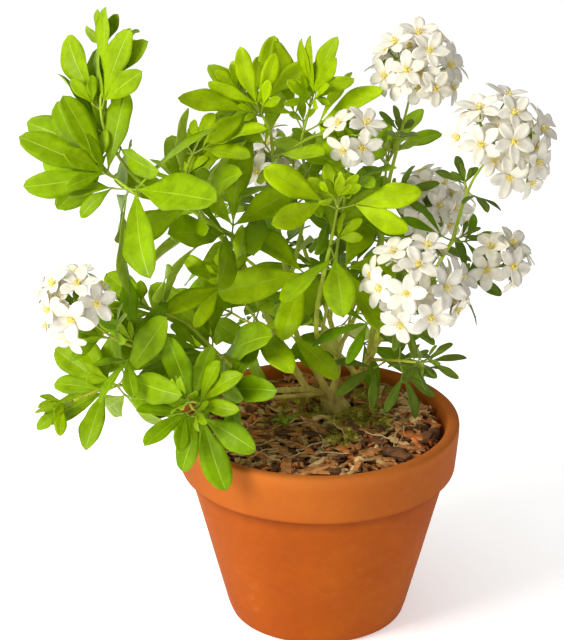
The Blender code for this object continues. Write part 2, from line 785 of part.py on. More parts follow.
def inner_radius(height):
    """The radius of the pot's inner wall at a height."""
    neck = POT_HEIGHT - RIM_BAND
    foot = FOOT_RADIUS - BODY_WALL
    if height > neck:
        share = (height - neck) / RIM_BAND
        return NECK_RADIUS - BODY_WALL + share * (RIM_RADIUS - RIM_WALL - NECK_RADIUS + BODY_WALL)
    share = (height - FLOOR_THICKNESS) / (neck - FLOOR_THICKNESS)
    return foot + share * (NECK_RADIUS - BODY_WALL - foot)


def make_pot():
    neck = POT_HEIGHT - RIM_BAND
    lip = 0.003
    profile = [
        (0, 0),
        (FOOT_RADIUS - FOOT_ROUND, 0),
        (FOOT_RADIUS, FOOT_ROUND),
        (NECK_RADIUS, neck),
        (RIM_LOW_RADIUS - 0.001, neck),
        (RIM_LOW_RADIUS, neck + 0.0015),
        (RIM_RADIUS, POT_HEIGHT - lip),
        (RIM_RADIUS - 0.0025, POT_HEIGHT),
        (RIM_RADIUS - RIM_WALL + 0.0015, POT_HEIGHT),
        (inner_radius(POT_HEIGHT - 0.002), POT_HEIGHT - 0.002),
        (inner_radius(neck), neck),
        (inner_radius(FLOOR_THICKNESS), FLOOR_THICKNESS),
        (0, FLOOR_THICKNESS),
    ]
    pot = revolve("pot", profile, "terracotta")
    for n in range(DRAIN_HOLES):
        angle = 2 * math.pi * (n + 0.5) / DRAIN_HOLES
        centre = Vector((DRAIN_CIRCLE * math.cos(angle), DRAIN_CIRCLE * math.sin(angle), 0))
        path = [centre - Vector((0, 0, 0.01)), centre + Vector((0, 0, FLOOR_THICKNESS + 0.01))]
        cutter = add_object(f"drain_cutter_{n}", tube(path, [DRAIN_RADIUS] * 2, 12), "terracotta")
        cutter.hide_render = True
        cutter.display_type = "WIRE"
        cut = pot.modifiers.new(f"Drain hole {n}", "BOOLEAN")
        cut.operation = "DIFFERENCE"
        cut.object = cutter
    return pot


def make_soil():
    """The filled pot's soil, which follows the inner wall and swells a little to the middle."""
    low = FLOOR_THICKNESS + GAP
    neck = POT_HEIGHT - RIM_BAND
    profile = [
        (0, low),
        (inner_radius(low) - 2 * GAP, low),
        (inner_radius(neck) - 2 * GAP, neck),
        (inner_radius(SOIL_SURFACE) - 2 * GAP, SOIL_SURFACE),
        (inner_radius(SOIL_SURFACE) - 0.012, SOIL_SURFACE + 0.7 * SOIL_MOUND),
        (0.052, SOIL_SURFACE + SOIL_MOUND),
        (0, SOIL_SURFACE + SOIL_MOUND),
    ]
    return revolve("soil", profile, "bark_mulch")


def make_trunk():
    top = trunk_top()
    path = [TRUNK_FOOT, TRUNK_FOOT.lerp(top, 0.45), top]
    points, faces = tube(path, [TRUNK_FLARE, 0.9 * TRUNK_NECK, TRUNK_NECK], 10, TRUNK_FOOT.z)
    for p in points[-10:]:
        p.z = top.z
    obj = add_object("trunk", (points, faces), "stem", smooth_shading=True)
    obj.data.set_sharp_from_angle(angle=math.radians(60))
    return obj


def build():
    for old in list(bpy.data.objects):
        bpy.data.objects.remove(old)
    limbs, plant = grow()
    make_pot()
    make_soil()
    make_trunk()
    for name, (path, radii) in limbs.items():
        foot = path[0].z if LIMBS[name].parent == "trunk" else None
        bough = add_object(name, tube(path, radii, LIMB_SIDES, foot), "stem", smooth_shading=True)
        bough.data.set_sharp_from_angle(angle=math.radians(80))
    for name, (stem, stalks, leaflets, flowers) in plant.items():
        shells = [stalk_shell(stem)]
        shells += [stalk_shell(stalk) for stalk in stalks]
        shells += [coarse_leaflet(leaf) for leaf in leaflets]
        shells += [coarse_flower(flower) for flower in flowers]
        fuse(name, shells, "blossom" if MASSES[name].flowers else "foliage")


if __name__ == "__main__":
    build()
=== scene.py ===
"""Looks of the potted Mexican orange blossom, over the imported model. The plant grows again here by the
source's rule, from the same tables and seeds, into fine leaves, petals, twigs and bark. Metres, +Z up."""

import json
import math
import random
from collections import namedtuple

import bpy
from mathutils import Matrix, Vector, noise
from mathutils.bvhtree import BVHTree

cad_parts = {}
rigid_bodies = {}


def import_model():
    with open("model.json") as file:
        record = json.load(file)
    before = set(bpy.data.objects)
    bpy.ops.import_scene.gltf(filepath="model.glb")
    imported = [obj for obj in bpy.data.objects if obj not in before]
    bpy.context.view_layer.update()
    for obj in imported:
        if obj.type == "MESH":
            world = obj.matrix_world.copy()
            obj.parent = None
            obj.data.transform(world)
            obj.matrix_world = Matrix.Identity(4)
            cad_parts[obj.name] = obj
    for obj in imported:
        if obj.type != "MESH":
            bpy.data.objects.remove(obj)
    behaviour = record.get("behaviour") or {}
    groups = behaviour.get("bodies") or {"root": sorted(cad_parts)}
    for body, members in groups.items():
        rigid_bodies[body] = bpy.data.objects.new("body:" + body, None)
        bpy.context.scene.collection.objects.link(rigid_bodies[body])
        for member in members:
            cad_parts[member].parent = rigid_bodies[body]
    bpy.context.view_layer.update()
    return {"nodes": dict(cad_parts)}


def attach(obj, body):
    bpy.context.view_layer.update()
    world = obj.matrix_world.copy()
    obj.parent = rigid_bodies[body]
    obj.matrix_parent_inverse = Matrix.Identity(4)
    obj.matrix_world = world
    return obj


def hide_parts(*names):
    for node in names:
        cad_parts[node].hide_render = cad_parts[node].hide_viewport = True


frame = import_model()

MM = 0.001
GAP = 0.3 * MM
UP = Vector((0, 0, 1))

# Pot
POT_HEIGHT = 0.141
RIM_RADIUS = 0.095
RIM_LOW_RADIUS = 0.0920
RIM_BAND = 0.034
NECK_RADIUS = 0.0868
FOOT_RADIUS = 0.0590
RIM_WALL = 0.009
BODY_WALL = 0.008
FLOOR_THICKNESS = 0.012
DRAIN_HOLES = 3
DRAIN_RADIUS = 0.006
DRAIN_CIRCLE = 0.026

# Soil, a little below the lip
SOIL_DROP = 0.013
SOIL_SURFACE = POT_HEIGHT - SOIL_DROP
SOIL_MOUND = 0.004

# Trunk, a short stub that stands behind the pot's middle
TRUNK_FOOT = Vector((0.0115, 0.0340, SOIL_SURFACE + SOIL_MOUND + GAP))
TRUNK_HEIGHT = 0.010
TRUNK_LEAN = Vector((-0.002, -0.001))
TRUNK_FLARE = 0.0105
TRUNK_NECK = 0.0078

# Where leaves turn their faces: up, and towards the side the light comes from
LIGHT = Vector((-0.08, -0.62, 0.78)).normalized()
OUTWARD_PULL = 0.65
OUTWARD_REACH = 0.12

# One leaf is a stalk with leaflets spread from its end like fingers
SHORTEST_STALK = 7.0 * MM
STALK_ROOT = 0.4 * MM
STALK_TIP = 1.1 * MM
STALK_DROOP = 0.06
LEAFLET_FAN = (55, 42)
SIDE_LEAFLET = 0.86
LEAFLET_STRAY = 6
LEAFLET_ROLL = 12
LEAFLET_CANT = 9
LEAFLET_LENGTHS = (0.93, 1.05)
LEAFLET_WIDTHS = (0.92, 1.08)
LEAFLET_SAGS = (0.4, 1.7)
LEAF_SIZES = (0.94, 1.06)
PAIR_STRAY = 12
TIP_SHRINK = 0.22
LEAF_FOLD = 0.22
LEAF_SAG = 0.10
LEAF_THICK = 1 / 90
WIDEST = 1.55
COARSE_SECTIONS = (0.44, 0.79)
SMALL_LEAFLET = 54 * MM
SMALL_SECTIONS = (0.58,)
LEAFLET_ROOT = 0.35 * MM
TEST_ROOM = 0.45 * MM
TWIG_SIDES = 3
STEM_STEP = 0.015
CURVE_STEPS = 16
TUBE_TOP = Vector((0.2, -1, 0.1))
STEM_FOOT = 1.1 * MM
STEM_TIP = 0.75 * MM
LIMB_SIDES = 5
SIDE_LEAN = 0.80
SEATING_ROUNDS = 10
SOIL_ROOM = 1.5 * MM
RIM_ROOM = 2.5 * MM

# Where a leaf or a flower finds no room it tries these turns, swings and places, one after another
LEAF_TURNS = (0, 14, -14, 28, -28, 42, -42)
LEAFLET_SWINGS = (0, 10, -10, 20, -20)
FLOWER_PUSHES = (1.0, 1.1, 0.9, 1.2, 0.8, 1.3, 0.7)

# A new piece may pass over pieces of its own mass of these kinds
OWN = ("stem", "stalk", "leaflet", "flower")
OWN_WOOD = ("stem", "stalk")

# One flower is a five-pointed star of blunt petals
PETALS = 5
FLOWER_RADIUS = 14.5 * MM
PETAL_CUP = 0.20
PETAL_OUTLINE = ((-math.pi / PETALS, 0.36), (0.0, 1.0))
FLOWER_HEART = 0.92
NECK = 2.6 * MM
NECK_THICK = 0.6 * MM
HEART_RISE = 0.8
GOLDEN_ANGLE = math.pi * (3 - math.sqrt(5))
HEAD_BRANCHES = 6
HEAD_SEED = 1000
HEAD_RISE = 0.55
HEAD_TURN = 0.6
HEAD_DEPTH = 1.35
HEAD_CORE = 0.75
BRANCH_REACH = 0.6
BRANCH_RISE = 0.8
FLOWER_ROOTS = (0.55, 0.75, 0.95)
FLOWER_SIZES = (0.88, 1.06)
BRANCH_TIP = 0.8 * MM

Limb = namedtuple("Limb", "parent at points foot_radius tip_radius")
Mass = namedtuple("Mass", "limb at points nodes leaf slim roll spread stalk flowers dome seed")

# A limb leaves its parent at a share of the parent's length. From the trunk, `at` is its place on top.
LIMBS = {
    "bough_left": Limb(
        "trunk", (-4.6, -0.6), [(-8, 26, 151), (-28, 12, 196), (-42, 4, 229), (-56, -5, 271)], 2.4, 1.6
    ),
    "bough_top_middle": Limb(
        "trunk", (-0.4, -4.8), [(-4, 24, 168), (-17, 20, 200), (-22, 14, 242), (-29, 12, 284)], 2.2, 1.5
    ),
    "bough_right": Limb(
        "trunk", (4.6, -0.4), [(26, 34, 156), (34, 30, 174), (40, 28, 229), (42, 30, 267)], 2.4, 1.5
    ),
    "bough_back": Limb("trunk", (0.2, 4.6), [(13, 46, 154), (10, 66, 174), (2, 84, 194)], 2.2, 1.6),
    "bough_top_left": Limb(
        "bough_left", 0.80, [(-66, -12, 278), (-84, -23, 299), (-114, -30, 315)], 1.5, 1.2
    ),
    "bough_left_low": Limb(
        "bough_left", 0.10, [(-34, 4, 159), (-61, -20, 178), (-84, -36, 194)], 1.8, 1.3
    ),
    "bough_low_front": Limb(
        "bough_left", 0.03, [(-30, 3, 154), (-46, -22, 168), (-60, -42, 182)], 1.5, 1.1
    ),
    "bough_top_right": Limb("bough_top_middle", 0.62, [(-12, 18, 266), (-6, 20, 300)], 1.4, 1.1),
    "bough_centre": Limb(
        "bough_right", 0.14, [(14, 14, 180), (0, 4, 196), (-1, -8, 222), (3, -20, 252)], 2.0, 1.3
    ),
    "bough_front_right": Limb(
        "bough_right", 0.20, [(37, 10, 184), (38, -10, 204), (42, -26, 222)], 1.7, 1.3
    ),
    "bough_high_right": Limb(
        "bough_right", 0.30, [(57, 12, 214), (74, 2, 244), (86, -3, 268)], 1.7, 1.2
    ),
    "bough_back_left": Limb(
        "bough_back", 0.55, [(-14, 86, 190), (-38, 98, 204), (-60, 104, 222)], 1.5, 1.1
    ),
    "bough_back_right": Limb(
        "bough_back", 0.40, [(24, 78, 178), (34, 94, 200), (41, 104, 224)], 1.6, 1.2
    ),
}

# A mass's stem goes on from its limb's end, or leaves the limb's side where `at` is under 1. `nodes` are
# the places of its pairs of leaves as shares of the stem, `leaf` a leaflet's length, `slim` its width to
# its length, `roll` the turn of the first pair, `spread` the leaves' angle to the stem at the foot and at
# the tip, `stalk` a leaf stalk's length to the leaflet's, `dome` the radius of the head of `flowers`.
# Points, radii, lengths and places on the trunk are in millimetres, angles in degrees.
MASSES = {
    "flowers_top": Mass(
        "bough_right", 1.0, [(46, 30, 299), (52, 30, 327), (60, 29, 364)],
        (0.30, 0.66), 27, 0.26, 0, (62, 50), 0.35, 14, 24, 11,
    ),
    "flowers_upper_right": Mass(
        "bough_high_right", 1.0, [(92, -5, 292), (98, -8, 312), (107, -11, 328)],
        (0.15, 0.66), 32, 0.26, 20, (80, 70), 0.3, 16, 30, 12,
    ),
    "flowers_front_right": Mass(
        "bough_front_right", 1.0, [(48, -36, 231), (57, -48, 248)],
        (0.25, 0.75), 38, 0.26, 20, (95, 85), 0.3, 14, 28, 13,
    ),
    "flowers_right": Mass(
        "bough_high_right", 0.45, [(98, -6, 246), (112, -10, 255)],
        (0.55,), 36, 0.26, 50, (70, 50), 0.3, 7, 14, 14,
    ),
    "flowers_inner_right": Mass(
        "bough_right", 0.66, [(49, 42, 254), (62, 45, 268)],
        (0.5,), 38, 0.26, 0, (70, 50), 0.3, 7, 15, 15,
    ),
    "flowers_middle": Mass(
        "bough_centre", 0.45, [(12, 4, 262), (17, -4, 306), (21, -14, 340)],
        (0.55, 0.8), 42, 0.34, 30, (60, 50), 0.3, 4, 12, 16,
    ),
    "flowers_left": Mass(
        "bough_left_low", 0.72, [(-104, -48, 207), (-130, -66, 226), (-148, -76, 247)],
        (0.35, 0.62), 34, 0.34, 70, (60, 50), 0.3, 11, 20, 17,
    ),
    "flowers_back": Mass(
        "bough_back_left", 0.35, [(-30, 112, 232), (-36, 122, 262)],
        (0.35, 0.75), 42, 0.28, 45, (70, 60), 0.3, 10, 24, 18,
    ),
    "flowers_back_right": Mass(
        "bough_back_right", 0.55, [(60, 106, 216), (74, 110, 238)],
        (0.3, 0.7), 42, 0.28, 45, (70, 60), 0.3, 9, 22, 19,
    ),
    "leaves_far_left": Mass(
        "bough_top_left", 1.0, [(-114, -47, 316), (-134, -41, 330)],
        (0.68, 0.89), 79, 0.34, 138, (104, -14), 0.1, 0, 0, 445,
    ),
    "leaves_top_left": Mass(
        "bough_top_left", 0.93, [(-119, -23, 320), (-138, -24, 358), (-135, -1, 393)],
        (0.30, 0.47, 0.63, 0.80), 55, 0.37, 151, (48, 22), 0.06, 0, 0, 185,
    ),
    "leaves_upper_left": Mass(
        "bough_left", 1.0, [(-74, -7, 286), (-86, -23, 314), (-81, -5, 330)],
        (0.16, 0.48, 0.77, 0.99), 61, 0.38, 59, (40, 62), 0.05, 0, 0, 673,
    ),
    "leaves_top_middle": Mass(
        "bough_top_middle", 1.0, [(-32, 8, 340), (-48, 13, 363)],
        (0.15, 0.53, 0.82, 0.83), 49, 0.33, -150, (87, 18), 0.23, 0, 0, 408,
    ),
    "leaves_top_right": Mass(
        "bough_top_right", 1.0, [(-12, 18, 325), (-6, 13, 357)],
        (0.28, 0.71, 0.98), 50, 0.33, 72, (81, 0), 0.29, 0, 0, 864,
    ),
    "leaves_centre": Mass(
        "bough_centre", 1.0, [(8, -32, 282), (12, -38, 308)],
        (0.25, 0.55, 0.95), 58, 0.40, 10, (95, 60), 0.25, 0, 0, 25,
    ),
    "leaves_left": Mass(
        "bough_left_low", 0.45, [(-79, -27, 213), (-89, -26, 222), (-110, -36, 235)],
        (0.30, 0.40, 0.87), 69, 0.41, 158, (59, 48), 0.11, 0, 0, 328,
    ),
    "leaves_lower_left": Mass(
        "bough_left_low", 1.0, [(-108, -59, 189), (-129, -57, 190), (-157, -74, 186)],
        (0.68, 0.69), 57, 0.41, 38, (118, -27), 0.17, 0, 0, 391,
    ),
    "leaves_front_low": Mass(
        "bough_low_front", 1.0, [(-75, -68, 179), (-80, -74, 181), (-82, -85, 190)],
        (0.34, 0.69, 0.81), 48, 0.41, -140, (84, 54), 0.15, 0, 0, 354,
    ),
    "leaves_middle_low": Mass(
        "bough_left", 0.22, [(-36, -8, 208), (-48, -22, 232), (-56, -30, 250)],
        (0.3, 0.6, 0.96), 50, 0.38, 20, (90, 55), 0.25, 0, 0, 29,
    ),
    "leaves_right_low": Mass(
        "bough_front_right", 0.15, [(54, -8, 186), (66, -20, 190)],
        (0.3, 0.6, 0.96), 34, 0.25, 15, (95, 60), 0.3, 0, 0, 30,
    ),
    "leaves_back_middle": Mass(
        "bough_back", 1.0, [(-10, 98, 222), (-17, 106, 256), (-18, 108, 286)],
        (0.2, 0.45, 0.7, 0.96), 54, 0.36, 30, (90, 45), 0.3, 0, 0, 31,
    ),
    "leaves_back_high": Mass(
        "bough_back", 0.72, [(12, 68, 232), (14, 60, 270), (12, 56, 298)],
        (0.35, 0.66, 0.97), 52, 0.36, 10, (88, 45), 0.3, 0, 0, 36,
    ),
    "leaves_back_left": Mass(
        "bough_back_left", 1.0, [(-74, 108, 240), (-84, 108, 266)],
        (0.2, 0.55, 0.96), 56, 0.36, 0, (90, 50), 0.3, 0, 0, 32,
    ),
    "leaves_back_right": Mass(
        "bough_back_right", 1.0, [(44, 112, 250), (46, 114, 282)],
        (0.2, 0.55, 0.96), 52, 0.32, 60, (90, 50), 0.3, 0, 0, 33,
    ),
    "leaves_back_low": Mass(
        "bough_back", 0.30, [(22, 96, 172), (26, 116, 184)],
        (0.4, 0.7, 0.97), 46, 0.36, 20, (95, 70), 0.3, 0, 0, 34,
    ),
    "leaves_back_side": Mass(
        "bough_back_left", 0.12, [(-36, 82, 170), (-62, 88, 180)],
        (0.4, 0.7, 0.97), 46, 0.36, 50, (95, 70), 0.3, 0, 0, 35,
    ),
}


def smooth(points, before=None, step=STEM_STEP):
    """A smooth curve through the points, as evenly spaced points."""
    first = before if before is not None else 2 * points[0] - points[1]
    ends = [first, *points, 2 * points[-1] - points[-2]]
    dense = []
    for a, b, c, d in zip(ends, ends[1:], ends[2:], ends[3:]):
        for k in range(CURVE_STEPS):
            t = k / CURVE_STEPS
            square, cube = 2 * a - 5 * b + 4 * c - d, 3 * b - a - 3 * c + d
            dense.append(0.5 * (2 * b + (c - a) * t + square * t * t + cube * t ** 3))
    dense.append(points[-1].copy())
    length = sum((q - p).length for p, q in zip(dense, dense[1:]))
    count = max(2, round(length / step))
    path, want, done = [dense[0]], length / count, 0.0
    for p, q in zip(dense, dense[1:]):
        gone = (q - p).length
        while gone and done + gone >= want * len(path) - 1e-9 and len(path) < count:
            path.append(p.lerp(q, (want * len(path) - done) / gone))
        done += gone
    path.append(dense[-1])
    return path


def along(path, share):
    """The point and the direction at a share of an evenly spaced path."""
    place = min(max(share, 0.0), 1.0) * (len(path) - 1)
    k = min(int(place), len(path) - 2)
    return path[k].lerp(path[k + 1], place - k), (path[k + 1] - path[k]).normalized()


def across(direction, near=UP):
    """A unit vector square to direction, as close to `near` as it can be."""
    side = near - direction * near.dot(direction)
    if side.length < 1e-3:
        side = Vector((1, 0, 0)) - direction * direction.x
    return side.normalized()


def turned(vector, axis, degrees):
    return Matrix.Rotation(math.radians(degrees), 3, axis) @ vector


def spoke(up, side, angle):
    """The unit vector at an angle that starts at up and goes towards side."""
    return up * math.cos(angle) + side * math.sin(angle)


def tube_faces(rings, sides):
    """The faces of a closed tube whose points go ring by ring."""
    faces = []
    for k in range(rings - 1):
        for n in range(sides):
            a, b = k * sides + n, k * sides + (n + 1) % sides
            faces.append((a, b, b + sides, a + sides))
    faces.append(tuple(reversed(range(sides))))
    faces.append(tuple(range((rings - 1) * sides, rings * sides)))
    return faces


def frames(path, top):
    """Two ways square to a path at each of its points, the first as near to top as it can be."""
    last = len(path) - 1
    directions = [(path[min(k + 1, last)] - path[max(k - 1, 0)]).normalized() for k in range(last + 1)]
    up = across(directions[0], top)
    made = []
    for direction in directions:
        up = across(direction, up)
        made.append((up, direction.cross(up)))
    return made


def tube(path, radii, sides, top=None):
    """A closed tapering tube along a path, as (points, faces). Its first corner looks towards top."""
    points = []
    for centre, radius, (up, side) in zip(path, radii, frames(path, top or TUBE_TOP)):
        points += [centre + radius * spoke(up, side, math.tau * n / sides) for n in range(sides)]
    return points, tube_faces(len(path), sides)


def taper(count, start, end):
    return [start + (end - start) * k / (count - 1) for k in range(count)]


def half_width(share):
    """A leaflet's half width at a share of its length, where 1 is the widest."""
    return math.sin(math.pi * share ** WIDEST)


Leaflet = namedtuple("Leaflet", "root direction normal length width sag")
Stalk = namedtuple("Stalk", "path radius top")
Flower = namedtuple("Flower", "centre axis radius spin root")


def leaflet_point(leaf, share, sideways=0.0, lift=0.0):
    """A point of a leaflet: along its midrib, sideways in half widths, lifted off its face in metres."""
    side = leaf.direction.cross(leaf.normal)
    arch = leaf.sag * leaf.length * share * share
    half = leaf.width / 2 * sideways
    return (
        leaf.root
        + leaf.direction * (leaf.length * share)
        + side * half
        + leaf.normal * (lift - arch + LEAF_FOLD * abs(half))
    )


def coarse_leaflet(leaf, start=0.0, room=0.0):
    """A closed leaflet of few faces. With room, it is that much fuller all round, to test a place."""
    thick = leaf.length * LEAF_THICK / 2 + room
    wide = 1 + 2 * room / leaf.width
    points = [leaflet_point(leaf, start)]
    sections = SMALL_SECTIONS if leaf.length < SMALL_LEAFLET else COARSE_SECTIONS
    for share in sections:
        half = half_width(share) * wide
        points += [
            leaflet_point(leaf, share, -half),
            leaflet_point(leaf, share, 0, thick),
            leaflet_point(leaf, share, half),
            leaflet_point(leaf, share, 0, -thick),
        ]
    points.append(leaflet_point(leaf, 1 + room / leaf.length))
    faces = []
    last = len(points) - 1
    for n in range(4):
        m = (n + 1) % 4
        faces.append((0, 1 + m, 1 + n))
        for k in range(1, last - 4, 4):
            faces.append((k + n, k + m, k + 4 + m))
            faces.append((k + n, k + 4 + m, k + 4 + n))
        faces.append((last - 4 + n, last - 4 + m, last))
    return points, faces


def ring(centre, direction, radius, near):
    """Three points round a centre, square to a direction."""
    up = across(direction, near)
    side = direction.cross(up)
    return [centre + radius * spoke(up, side, math.tau * n / 3) for n in range(3)]


def coarse_flower(flower):
    """A closed five-pointed star, raised into a shallow cup, on its stalk."""
    up = across(flower.axis)
    side = flower.axis.cross(up)
    points = []
    for petal in range(PETALS):
        middle = flower.spin + math.tau * petal / PETALS
        for offset, share in PETAL_OUTLINE:
            reach = share * flower.radius
            out = reach * spoke(up, side, middle + offset)
            points.append(flower.centre + out + flower.axis * (PETAL_CUP * reach))
    rim, first = len(points), points[0] - flower.centre
    points.append(flower.centre + flower.axis * HEART_RISE * MM)
    neck = flower.centre - flower.axis * NECK
    away = (neck - flower.root).normalized()
    points += ring(neck, (away + flower.axis).normalized(), NECK_THICK, first)
    points += ring(flower.root, away, STALK_ROOT, first)
    faces = [(n, (n + 1) % rim, rim) for n in range(rim)]
    low = rim + 1
    corner = [round(3 * n / rim) % 3 for n in range(rim)]
    for n in range(rim):
        m = (n + 1) % rim
        faces.append((m, n, low + corner[n]))
        if corner[m] != corner[n]:
            faces.append((m, low + corner[n], low + corner[m]))
    for n in range(3):
        m = (n + 1) % 3
        faces.append((low + m, low + n, low + 3 + m))
        faces.append((low + n, low + 3 + n, low + 3 + m))
    faces.append((low + 3, low + 5, low + 4))
    return points, faces


def star_only(flower):
    """The star of a coarse flower, closed below, to test a place for it."""
    points, faces = coarse_flower(flower)
    rim = 2 * PETALS
    keep = [face for face in faces if max(face) < rim + 4]
    return points[: rim + 4], [*keep, (rim + 1, rim + 3, rim + 2)]


def facing(point):
    """The way a leaf at this point turns its face."""
    outward = Vector((point.x, point.y, 0))
    reach = outward.length
    outward = outward.normalized() if reach > 0.01 else Vector((0, 0, 0))
    return (LIGHT + OUTWARD_PULL * outward * min(1.0, reach / OUTWARD_REACH)).normalized()


def box_of(points):
    """The lowest and the highest corner of a box round the points."""
    return [Vector(pick(p[k] for p in points) for k in range(3)) for pick in (min, max)]


class Space:
    """What already stands somewhere, and whether a new piece would touch it."""

    def __init__(self):
        self.taken = []

    def add(self, shell, owner, kind):
        self.taken.append((BVHTree.FromPolygons(*shell), *box_of(shell[0]), owner, kind))

    def free(self, shell, owner, ignore=()):
        """True if the shell touches nothing, leaving out the owner's own pieces of the kinds to ignore."""
        low, high = box_of(shell[0])
        for p in shell[0]:
            radius = math.hypot(p.x, p.y)
            if p.z < SOIL_SURFACE + SOIL_MOUND + SOIL_ROOM and radius < RIM_RADIUS:
                return False
            if p.z < POT_HEIGHT + SOIL_ROOM and radius < RIM_RADIUS + RIM_ROOM:
                if radius > RIM_RADIUS - RIM_WALL - RIM_ROOM:
                    return False
        tree = BVHTree.FromPolygons(*shell)
        for other, other_low, other_high, other_owner, kind in self.taken:
            if other_owner == owner and kind in ignore:
                continue
            if any(low[k] > other_high[k] or high[k] < other_low[k] for k in range(3)):
                continue
            if tree.overlap(other):
                return False
        return True


def from_table(points):
    return [Vector(p) * MM for p in points]


def trunk_top():
    return TRUNK_FOOT + Vector((TRUNK_LEAN.x, TRUNK_LEAN.y, TRUNK_HEIGHT))


def side_start(parent_path, parent_radius, at, towards, radius):
    """Where a limb that leaves a parent's side begins, just clear of it, and the parent's point there."""
    point, tangent = along(parent_path, at)
    direction = (towards - point).normalized()
    lean = direction.dot(tangent)
    if abs(lean) > SIDE_LEAN:
        direction = (direction - tangent * (lean - math.copysign(SIDE_LEAN, lean))).normalized()
        lean = direction.dot(tangent)
    off = (parent_radius + 1.2 * GAP + radius * abs(lean)) / math.sqrt(1 - lean * lean)
    return point + direction * off, point


def foot_points(corners):
    """Points spread over a tube's foot, from its corners."""
    centre = sum(corners, Vector()) / len(corners)
    edges = list(zip(corners, corners[1:] + corners[:1]))
    return [centre.lerp(a.lerp(b, k / 4), share) for a, b in edges for k in range(4) for share in (0.5, 1)]


def seated(start, before, points, foot, tip, parent_tree):
    """The path of a side limb whose foot is moved until it is 0.3 mm clear of its parent."""
    for _ in range(SEATING_ROUNDS):
        path = smooth([start, *points], before)
        corners = tube(path, taper(len(path), foot, tip), LIMB_SIDES)[0][:LIMB_SIDES]
        clear = min(parent_tree.find_nearest(p)[3] for p in foot_points(corners))
        start = start + (before - start).normalized() * (clear - GAP)
    return smooth([start, *points], before)


def grow_limbs():
    """Every limb's path and radii, by name."""
    grown = {}
    for name, limb in LIMBS.items():
        points = from_table(limb.points)
        foot, tip = limb.foot_radius * MM, limb.tip_radius * MM
        if limb.parent == "trunk":
            start = trunk_top() + Vector((limb.at[0] * MM, limb.at[1] * MM, GAP))
            path = smooth([start, *points])
        else:
            parent, radii = grown[limb.parent]
            radius = radii[0] + (radii[-1] - radii[0]) * limb.at
            start, before = side_start(parent, radius, limb.at, points[0], foot)
            parent_tree = BVHTree.FromPolygons(*tube(parent, radii, LIMB_SIDES))
            path = seated(start, before, points, foot, tip, parent_tree)
        grown[name] = (path, taper(len(path), foot, tip))
    return grown


def grow_stem(mass, limbs):
    """The stem of a mass, going on from its limb 0.3 mm clear."""
    path, radii = limbs[mass.limb]
    points = from_table(mass.points)
    if mass.at >= 1:
        tip, direction = along(path, 1.0)
        start, radius = tip + direction * GAP, radii[-1]
        stem = [start, *smooth([start + direction * 2 * MM, *points], start)]
    else:
        radius = STEM_FOOT
        parent_radius = radii[0] + (radii[-1] - radii[0]) * mass.at
        start, before = side_start(path, parent_radius, mass.at, points[0], radius)
        stem = smooth([start, *points], before)
    return Stalk(stem, taper(len(stem), radius, STEM_TIP), None)


def stalk_shell(stalk):
    return tube(stalk.path, stalk.radius, TWIG_SIDES, stalk.top)


def palm(root, direction, normal, length, slim, spread, dice):
    """The three leaflets that spread from a stalk's end."""
    leaflets = []
    for order in (0, -1, 1):
        way = turned(direction, normal, order * spread + dice.uniform(-LEAFLET_STRAY, LEAFLET_STRAY))
        reach = length * (SIDE_LEAFLET if order else 1) * dice.uniform(*LEAFLET_LENGTHS)
        face = turned(normal, way, dice.uniform(-LEAFLET_ROLL, LEAFLET_ROLL) - LEAFLET_CANT * order)
        leaflets.append(
            Leaflet(root + way * LEAFLET_ROOT, way, across(way, face), reach,
                    reach * slim * dice.uniform(*LEAFLET_WIDTHS), LEAF_SAG * dice.uniform(*LEAFLET_SAGS))
        )
    return leaflets


def place_leaf(node, direction, length, fan, mass, name, space, dice):
    """A stalk and its leaflets at a node, or nothing where there is no room. It tries a few turns."""
    for turn in LEAF_TURNS:
        way = turned(direction, across(direction, facing(node)), turn)
        reach = max(length * mass.stalk, SHORTEST_STALK)
        end = node + way * reach - Vector((0, 0, STALK_DROOP * reach))
        whole = Stalk([node, end], [BRANCH_TIP + TEST_ROOM, STALK_TIP + TEST_ROOM], None)
        outer = Stalk([node.lerp(end, 0.35), end], whole.radius, None)
        if not space.free(stalk_shell(whole), name, OWN):
            continue
        if not space.free(stalk_shell(outer), name, OWN_WOOD):
            continue
        forward = (end - node).normalized()
        normal = across(forward, turned(facing(end), forward, dice.uniform(-14, 14)))
        stalk = Stalk([node, end + forward * MM], [STALK_ROOT, STALK_TIP], normal)
        kept = []
        for leaf in palm(end, forward, normal, length, mass.slim, fan, dice):
            for swing in LEAFLET_SWINGS:
                tried = leaf._replace(direction=turned(leaf.direction, leaf.normal, swing))
                outer = coarse_leaflet(tried, 0.10, TEST_ROOM)
                if space.free(outer, name, ("stalk",)) and space.free(coarse_leaflet(tried), name, OWN):
                    kept.append(tried)
                    space.add(coarse_leaflet(tried), name, "leaflet")
                    break
        if kept:
            space.add(stalk_shell(stalk), name, "stalk")
            return [stalk], kept
    return [], []


def leaf_way(tangent, around, angle):
    """The way of a leaf's stalk: at an angle to its stem, on the side that `around` turns to."""
    outward = turned(across(tangent, Vector((1, 0, 0))), tangent, around)
    return turned(tangent, tangent.cross(outward).normalized(), angle).normalized()


